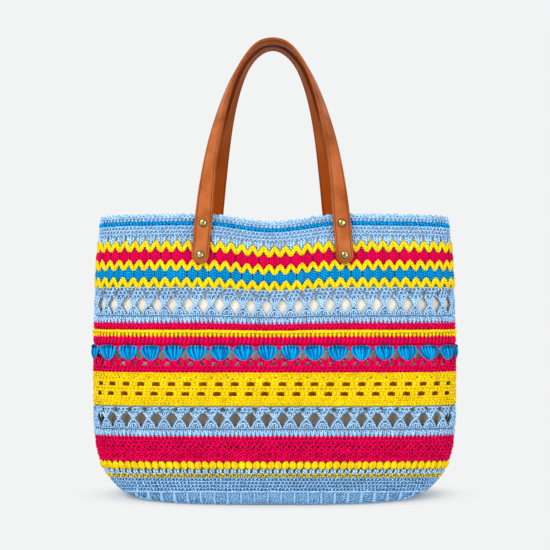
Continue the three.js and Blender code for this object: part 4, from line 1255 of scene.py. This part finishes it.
strap_leather = leather_material("tan_bridle_leather", "#934a22", "#aa5c30", "#b96a3e", "#421400", "#9a420e")
patch_leather = leather_material("tan_split_leather", "#9a5529", "#ad6535", "#bd7645", "#7a3a17", "#9a5529")
waxed_thread = new_material("waxed_linen_thread", {"Base Color": linear("#8c4418"), "Roughness": 0.5})[0]

# %% [markdown]
# Saddle stitches run round every strap, on both of its faces. They are short lenses of waxed thread that
# lie in the groove, and they ride with the strap without standing for a solid of their own.

# %% Saddle stitches
STITCH_PITCH = 3.6
STITCH_LENGTH = 2.3
STITCH_INSET = 2.2
THREAD_RADIUS = 0.36


def strap_stitches(name, mirrored):
    """Saddle stitches along both edges and round both ends, each one a short lens of thread on the face."""
    end = STRAP_WIDTH / 2
    inset = end - STITCH_INSET
    straight = STRAP_LENGTH - 2 * end
    count = int(straight / STITCH_PITCH)
    runs = end + (np.arange(count) + 0.5) / count * straight
    round_count = int(math.pi * inset / STITCH_PITCH)
    turns = (np.arange(round_count) + 0.5) / round_count * math.pi
    ends_a = np.stack([end - inset * np.sin(turns), -inset * np.cos(turns)], -1)
    slope_a = np.stack([-np.cos(turns), np.sin(turns)], -1)
    ends_b = np.stack([STRAP_LENGTH - end + inset * np.sin(turns), -inset * np.cos(turns)], -1)
    slope_b = np.stack([np.cos(turns), np.sin(turns)], -1)
    along_side = np.stack([np.ones(count), np.zeros(count)], -1)
    edges = [np.stack([runs, np.full(count, side * inset)], -1) for side in (1, -1)]
    middle = np.concatenate([*edges, ends_a, ends_b])
    slope = np.concatenate([along_side, along_side, slope_a, slope_b])
    lift = np.array([-0.2, 0.2, -0.2])
    fat = np.array([0.4, 1.0, 0.4]) * THREAD_RADIUS
    steps, sides = len(SPAN), 4
    turn = np.arange(sides) / sides * 2 * math.pi
    normal = np.stack([-slope[:, 1], slope[:, 0]], -1)
    flat = middle[:, None, :] + slope[:, None, :] * (SPAN * STITCH_LENGTH)[None, :, None]
    ring = flat[:, :, None, :] + normal[:, None, None, :] * (fat[:, None] * np.cos(turn))[None, :, :, None]
    points, quads, tris = [], [], []
    total = 0
    for face in (1, -1):
        w = face * (STRAP_THICKNESS / 2 + lift[:, None] + fat[:, None] * np.sin(turn))
        w = np.broadcast_to(w[None], ring.shape[:3])
        placed = on_strap(ring[..., 0], ring[..., 1], w).reshape(-1, 3)
        cap = np.array([[0, 2, 1], [0, 3, 2]])
        far = (steps - 1) * sides + cap[:, ::-1]
        first = total + np.arange(len(middle))[:, None, None] * (steps * sides)
        quad, tri = ring_faces(steps, sides)[0] + first, np.concatenate([cap, far]) + first
        if face < 0:
            quad, tri = quad[:, :, ::-1], tri[:, :, ::-1]
        points.append(placed)
        quads.append(quad.reshape(-1, 4))
        tris.append(tri.reshape(-1, 3))
        total += len(placed)
    points, quads, tris = np.concatenate(points), np.concatenate(quads), np.concatenate(tris)
    if mirrored:
        points, quads, tris = points * [1, -1, 1], quads[:, ::-1], tris[:, ::-1]
    return add_mesh(name, points, quads, tris)


for label, node_name, mirrored in (("front", "handle_front", False), ("rear", "handle_rear", True)):
    dress(strap_mesh(f"leather_strap_{label}", mirrored), strap_leather, "strap_leather", node_name)
    dress(strap_stitches(f"strap_stitches_{label}", mirrored), waxed_thread, "strap_leather")

# %% [markdown]
# Eight brass rivets hold the straps. Each cap is a low dome with a turned shoulder, and its rim is painted
# darker as shade of the groove under it.

# %% Rivets
CAP_RADIUS = 4.0
CAP_HEIGHT = 2.2
CAP_EDGE = 0.5
DOME_FOOT = 0.55
POST_RADIUS = 1.4
RIM_DARK_FROM, RIM_DARK_GROWS = 3.0, 0.7


def brass_material():
    """Antique brass: bright, with brown patina in broad soft spots and painted shade darkening the cap's rim.
    """
    material, tree, shader = new_material("antique_brass", {"Metallic": 1.0, "Roughness": 0.2})
    place = node(tree, "ShaderNodeTexCoord").outputs["Object"]
    patina = node(tree, "ShaderNodeTexNoise", {"Vector": place, "Scale": 420.0, "Detail": 3.0})
    ramp = node(tree, "ShaderNodeValToRGB", {0: patina.outputs[0]})
    ramp.color_ramp.elements[0].color = linear("#6f5f33")
    ramp.color_ramp.elements[0].position = 0.35
    ramp.color_ramp.elements[1].color = linear("#cfc184")
    ramp.color_ramp.elements[1].position = 0.65
    rim = node(tree, "ShaderNodeAttribute", attribute_name="rim")
    painted_rim_shade = node(tree, "ShaderNodeMix", {
        0: rim.outputs["Fac"], 6: ramp.outputs[0], 7: linear("#2e2412"),
    }, data_type="RGBA")
    tree.links.new(painted_rim_shade.outputs[2], shader.inputs["Base Color"])
    return material


brass = brass_material()


def rivet(name, node_name, profile, place, outwards):
    """Turns a profile of (radius, height) pairs about the rivet's axis; outwards is -1 on the front wall."""
    profile = np.asarray(profile, float)
    sides = 32
    turn = np.arange(sides) / sides * 2 * math.pi
    rings = [
        np.stack([reach * np.cos(turn), np.full(sides, level), reach * np.sin(turn)], axis=-1)
        for reach, level in profile[1:-1]
    ]
    points, quads, tris = closed_rings(rings, [0, profile[0, 1], 0], [0, profile[-1, 1], 0])
    quads, tris = quads[:, [0, 3, 2, 1]], tris[:, [0, 2, 1]]
    if outwards < 0:
        points = points * [1, -1, 1]
        quads, tris = quads[:, ::-1], tris[:, ::-1]
    piece = add_mesh(name, (points + place) * MM, quads, tris)
    # The rim value paints shade on the cap's outer edge
    from_axis = np.hypot(points[:, 0], points[:, 2])
    point_values(piece.data, "rim", np.clip((from_axis - RIM_DARK_FROM) / RIM_DARK_GROWS, 0, 1))
    dress(piece, brass, "rivet_brass", node_name)


dome = [
    [CAP_RADIUS * math.cos(a), DOME_FOOT + (CAP_HEIGHT - DOME_FOOT) * math.sin(a)]
    for a in np.linspace(0.1, math.pi / 2, 9)[:-1]
]
for wall in ("front", "rear"):
    outwards = -1 if wall == "front" else 1
    for hand in ("left", "right"):
        for level in ("upper", "lower"):
            node_name = f"rivet_{wall}_{hand}_{level}"
            low, high = np.array(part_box(node_name)) / MM
            post = (high[1] - low[1]) - CAP_HEIGHT
            centre = (low + high) / 2
            stem = [[0, -post], [POST_RADIUS, -post], [POST_RADIUS, 0]]
            shoulder = [[3.6, 0], [CAP_RADIUS, 0.12], [CAP_RADIUS, CAP_EDGE]]
            profile = stem + shoulder + dome + [[0, CAP_HEIGHT]]
            place = [centre[0], outwards * (STRAP_FRONT + STRAP_SEAT), centre[2]]
            rivet(f"rivet_cap_{wall}_{hand}_{level}", node_name, profile, place, outwards)

for start_of_name, material in (("rivet_back_", brass), ("patch_", patch_leather)):
    for name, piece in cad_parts.items():
        if name.startswith(start_of_name):
            for slot_of_piece in piece.material_slots:
                slot_of_piece.material = material

# %% [markdown]
# The lining is a sewn cotton pouch. It lies close behind the cloth at the rim, stands away from it lower
# down, and is a little creased.

# %% Lining
PATCH_REACH = 24.0
LINING_CLOSE_FROM = UPPER_RIVET - RIVET_PITCH - 10 - PATCH_REACH * FOOT_LEAN
LINING_FLOOR = 3.0
LINING_FLOOR_INSET = 4.0
LINING_TOP_ROW = RIM_HEIGHT - 8.0
LINING_THICKNESS = 1.0
LINING_SEAT = 0.5
LINING_BELLY = 12.0


def lining_inset(height):
    """How far the lining's outer face lies behind the middle of the cloth."""
    share = np.clip(height / LINING_CLOSE_FROM, 0, 1)
    belly = np.sin(math.pi * share) ** 2 * (1 - share) ** 0.6
    settled = 2 * (1 - np.minimum(1, height / (0.16 * LINING_CLOSE_FROM)))
    return CLOTH_HALF + LINING_SEAT + LINING_BELLY * belly + settled


def lining_piece():
    """Outer skin up, over the hem, inner skin down and across the floor, with soft creases in both skins."""
    columns, rows = 144, 28
    along = np.arange(columns) / columns * PERIMETER
    heights = np.linspace(0.05 * LINING_CLOSE_FROM, LINING_TOP_ROW, rows)
    grid_along, grid_height = np.meshgrid(along, heights)
    share = grid_height / LINING_CLOSE_FROM
    loose = np.clip(np.sin(math.pi * np.clip(share, 0, 1)), 0, 1)
    broad_folds = np.sin(grid_along / 31 + 0.8 * np.sin(grid_height / 43))
    fine_folds = 0.6 * np.sin(grid_along / 17 + grid_height / 29)
    crease = (broad_folds + fine_folds) * 0.9 * loose
    outer = cloth(grid_along, grid_height, -lining_inset(grid_height) + crease)
    inner = cloth(grid_along, grid_height, -lining_inset(grid_height) + crease - LINING_THICKNESS)
    floor_z = (LINING_FLOOR + LINING_SEAT) * MM
    flat = middle_of_cloth(along, np.zeros(columns)) * MM
    rings = []
    for shrink in (0.3, 0.6, 1 - LINING_FLOOR_INSET / (BASE_DEPTH / 2)):
        rings.append(flat * [shrink, shrink, 0] + [0, 0, floor_z])
    rings += list(outer) + list(inner[::-1])
    for shrink in (1 - (LINING_FLOOR_INSET + LINING_THICKNESS) / (BASE_DEPTH / 2), 0.6, 0.3):
        rings.append(flat * [shrink, shrink, 0] + [0, 0, floor_z + LINING_THICKNESS * MM])
    skin = closed_rings(rings, [0, 0, floor_z], [0, 0, floor_z + LINING_THICKNESS * MM])
    return add_mesh("cotton_lining", *skin)


# The lining's colours by height in millimetres are painted light: painted shade in taupe at the foot and in
# brown behind the yellow windows, where the brown is also a painted reflection of the yellow yarn, cream
# above it, and a duller cream from 192 mm up
PAINTED_LIGHT_TOP = 320.0
PAINTED_SHADE_TAUPE, PAINTED_SHADE_BROWN, CREAM = "#bcb29f", "#f5a038", "#fffdf6"
PAINTED_LIGHT_BY_HEIGHT = (
    (0, PAINTED_SHADE_TAUPE), (109, PAINTED_SHADE_TAUPE), (113, PAINTED_SHADE_BROWN), (142, PAINTED_SHADE_BROWN), (147, CREAM), (182, CREAM), (192, "#e4e0d4"),
    (320, "#e4e0d4"),
)


def cotton_material():
    """Plain woven cotton: a fine over and under weave, cream above, and painted shade in a brown band and a
    taupe foot below.
    """
    material, tree, shader = new_material("cream_plain_cotton", {"Roughness": 0.85})
    place = node(tree, "ShaderNodeTexCoord").outputs["Object"]
    fine = {"Vector": place, "Scale": 900.0, "Distortion": 0.6}
    threads = [node(tree, "ShaderNodeTexWave", fine, bands_direction=way) for way in ("X", "Z")]
    weave = node(tree, "ShaderNodeMath", {
        0: threads[0].outputs["Fac"], 1: threads[1].outputs["Fac"],
    }, operation="MULTIPLY")
    bump = node(tree, "ShaderNodeBump", {"Strength": 0.3, "Distance": 0.0002, "Height": weave.outputs[0]})
    tree.links.new(bump.outputs[0], shader.inputs["Normal"])
    parts = node(tree, "ShaderNodeSeparateXYZ", {0: place})
    height_share = node(tree, "ShaderNodeMapRange", {
        0: parts.outputs[2], 1: 0.0, 2: PAINTED_LIGHT_TOP * MM, 3: 0.0, 4: 1.0,
    })
    ramp = node(tree, "ShaderNodeValToRGB", {0: height_share.outputs[0]})
    ramp.color_ramp.elements[0].color = linear(PAINTED_LIGHT_BY_HEIGHT[0][1])
    ramp.color_ramp.elements[1].color = linear(PAINTED_LIGHT_BY_HEIGHT[-1][1])
    for height, tint in PAINTED_LIGHT_BY_HEIGHT[1:-1]:
        ramp.color_ramp.elements.new(height / PAINTED_LIGHT_TOP).color = linear(tint)
    tree.links.new(ramp.outputs[0], shader.inputs["Base Color"])
    return material


dress(lining_piece(), cotton_material(), "lining_cotton", "lining")

# %% [markdown]
# The photograph was taken in a light tent: broad soft light from the front and above, on a pale ground
# that fades into the background.

# %% Stage and light
BACKGROUND = "#f2f4f3"
LIGHT_AIM = (0, 0, 0.2)


def area_light(name, place, size, power):
    """An area light at place, turned to face the middle of the bag's lower wall."""
    data = bpy.data.lights.new(name, "AREA")
    data.shape = "RECTANGLE"
    data.size, data.size_y = size
    data.energy = power
    lamp = add_object(name, data)
    lamp.location = place
    towards = np.array(LIGHT_AIM) - np.array(place)
    flat_distance = math.hypot(towards[0], towards[1])
    lamp.rotation_euler = (
        math.atan2(flat_distance, -towards[2]), 0, math.atan2(towards[1], towards[0]) - math.pi / 2,
    )


area_light("key", (-0.75, -1.25, 1.15), (0.8, 0.8), 20)
area_light("fill", (0.95, -1.3, 0.45), (1.1, 1.1), 11)
area_light("top", (0, 0.1, 1.5), (1.2, 0.8), 7)


def seen_rays(tree):
    """1 for the rays that the eye follows: from the camera, off a mirror or through glass."""
    path = node(tree, "ShaderNodeLightPath")
    direct, glossy = path.outputs["Is Camera Ray"], path.outputs["Is Glossy Ray"]
    mirrored = node(tree, "ShaderNodeMath", {0: direct, 1: glossy}, operation="MAXIMUM")
    through = path.outputs["Is Transmission Ray"]
    return node(tree, "ShaderNodeMath", {0: mirrored.outputs[0], 1: through}, operation="MAXIMUM").outputs[0]


world = bpy.data.worlds.new("light_tent")
bpy.context.scene.world = world
world.use_nodes = True
sky = world.node_tree
sky.nodes.clear()
soft = node(sky, "ShaderNodeBackground", {"Color": (1, 1, 1, 1), "Strength": 0.46})
seen = node(sky, "ShaderNodeBackground", {"Color": linear(BACKGROUND), "Strength": 1.0})
choice = node(sky, "ShaderNodeMixShader", {0: seen_rays(sky), 1: soft.outputs[0], 2: seen.outputs[0]})
node(sky, "ShaderNodeOutputWorld", {"Surface": choice.outputs[0]})

# %% [markdown]
# The bag stands on matt paper. Near the bag the paper takes its soft shadow, and farther out the rays that
# the eye follows see the background's own colour, so no edge of the paper shows.

# %% Ground
GROUND_HALF = 1.6
ground_corners = [(x * GROUND_HALF, y * GROUND_HALF, 0) for x, y in ((-1, -1), (1, -1), (1, 1), (-1, 1))]
ground_data = bpy.data.meshes.new("ground")
ground_data.from_pydata(ground_corners, [], [(0, 1, 2, 3)])
ground_plane = add_object("ground", ground_data)
paper = bpy.data.materials.new("matt_paper")
paper.use_nodes = True
tree = paper.node_tree
tree.nodes.clear()
place = node(tree, "ShaderNodeTexCoord").outputs["Object"]
squash = node(tree, "ShaderNodeVectorMath", {0: place, 1: (1.0, 4.5, 1.0)}, operation="MULTIPLY")
distance = node(tree, "ShaderNodeVectorMath", {0: squash.outputs[0]}, operation="LENGTH")
fade = node(tree, "ShaderNodeMapRange", {0: distance.outputs["Value"], 1: 0.13, 2: 0.24, 3: 0.0, 4: 1.0})
fade.interpolation_type = "SMOOTHSTEP"
matt = node(tree, "ShaderNodeBsdfDiffuse", {"Color": linear("#e6e8e7")})
flat_glow = node(tree, "ShaderNodeEmission", {"Color": linear(BACKGROUND), "Strength": 1.0})
blend = node(tree, "ShaderNodeMixShader", {0: fade.outputs[0], 1: matt.outputs[0], 2: flat_glow.outputs[0]})
seen_only = node(tree, "ShaderNodeMixShader", {0: seen_rays(tree), 1: matt.outputs[0], 2: blend.outputs[0]})
node(tree, "ShaderNodeOutputMaterial", {"Surface": seen_only.outputs[0]})
ground_plane.data.materials.append(paper)
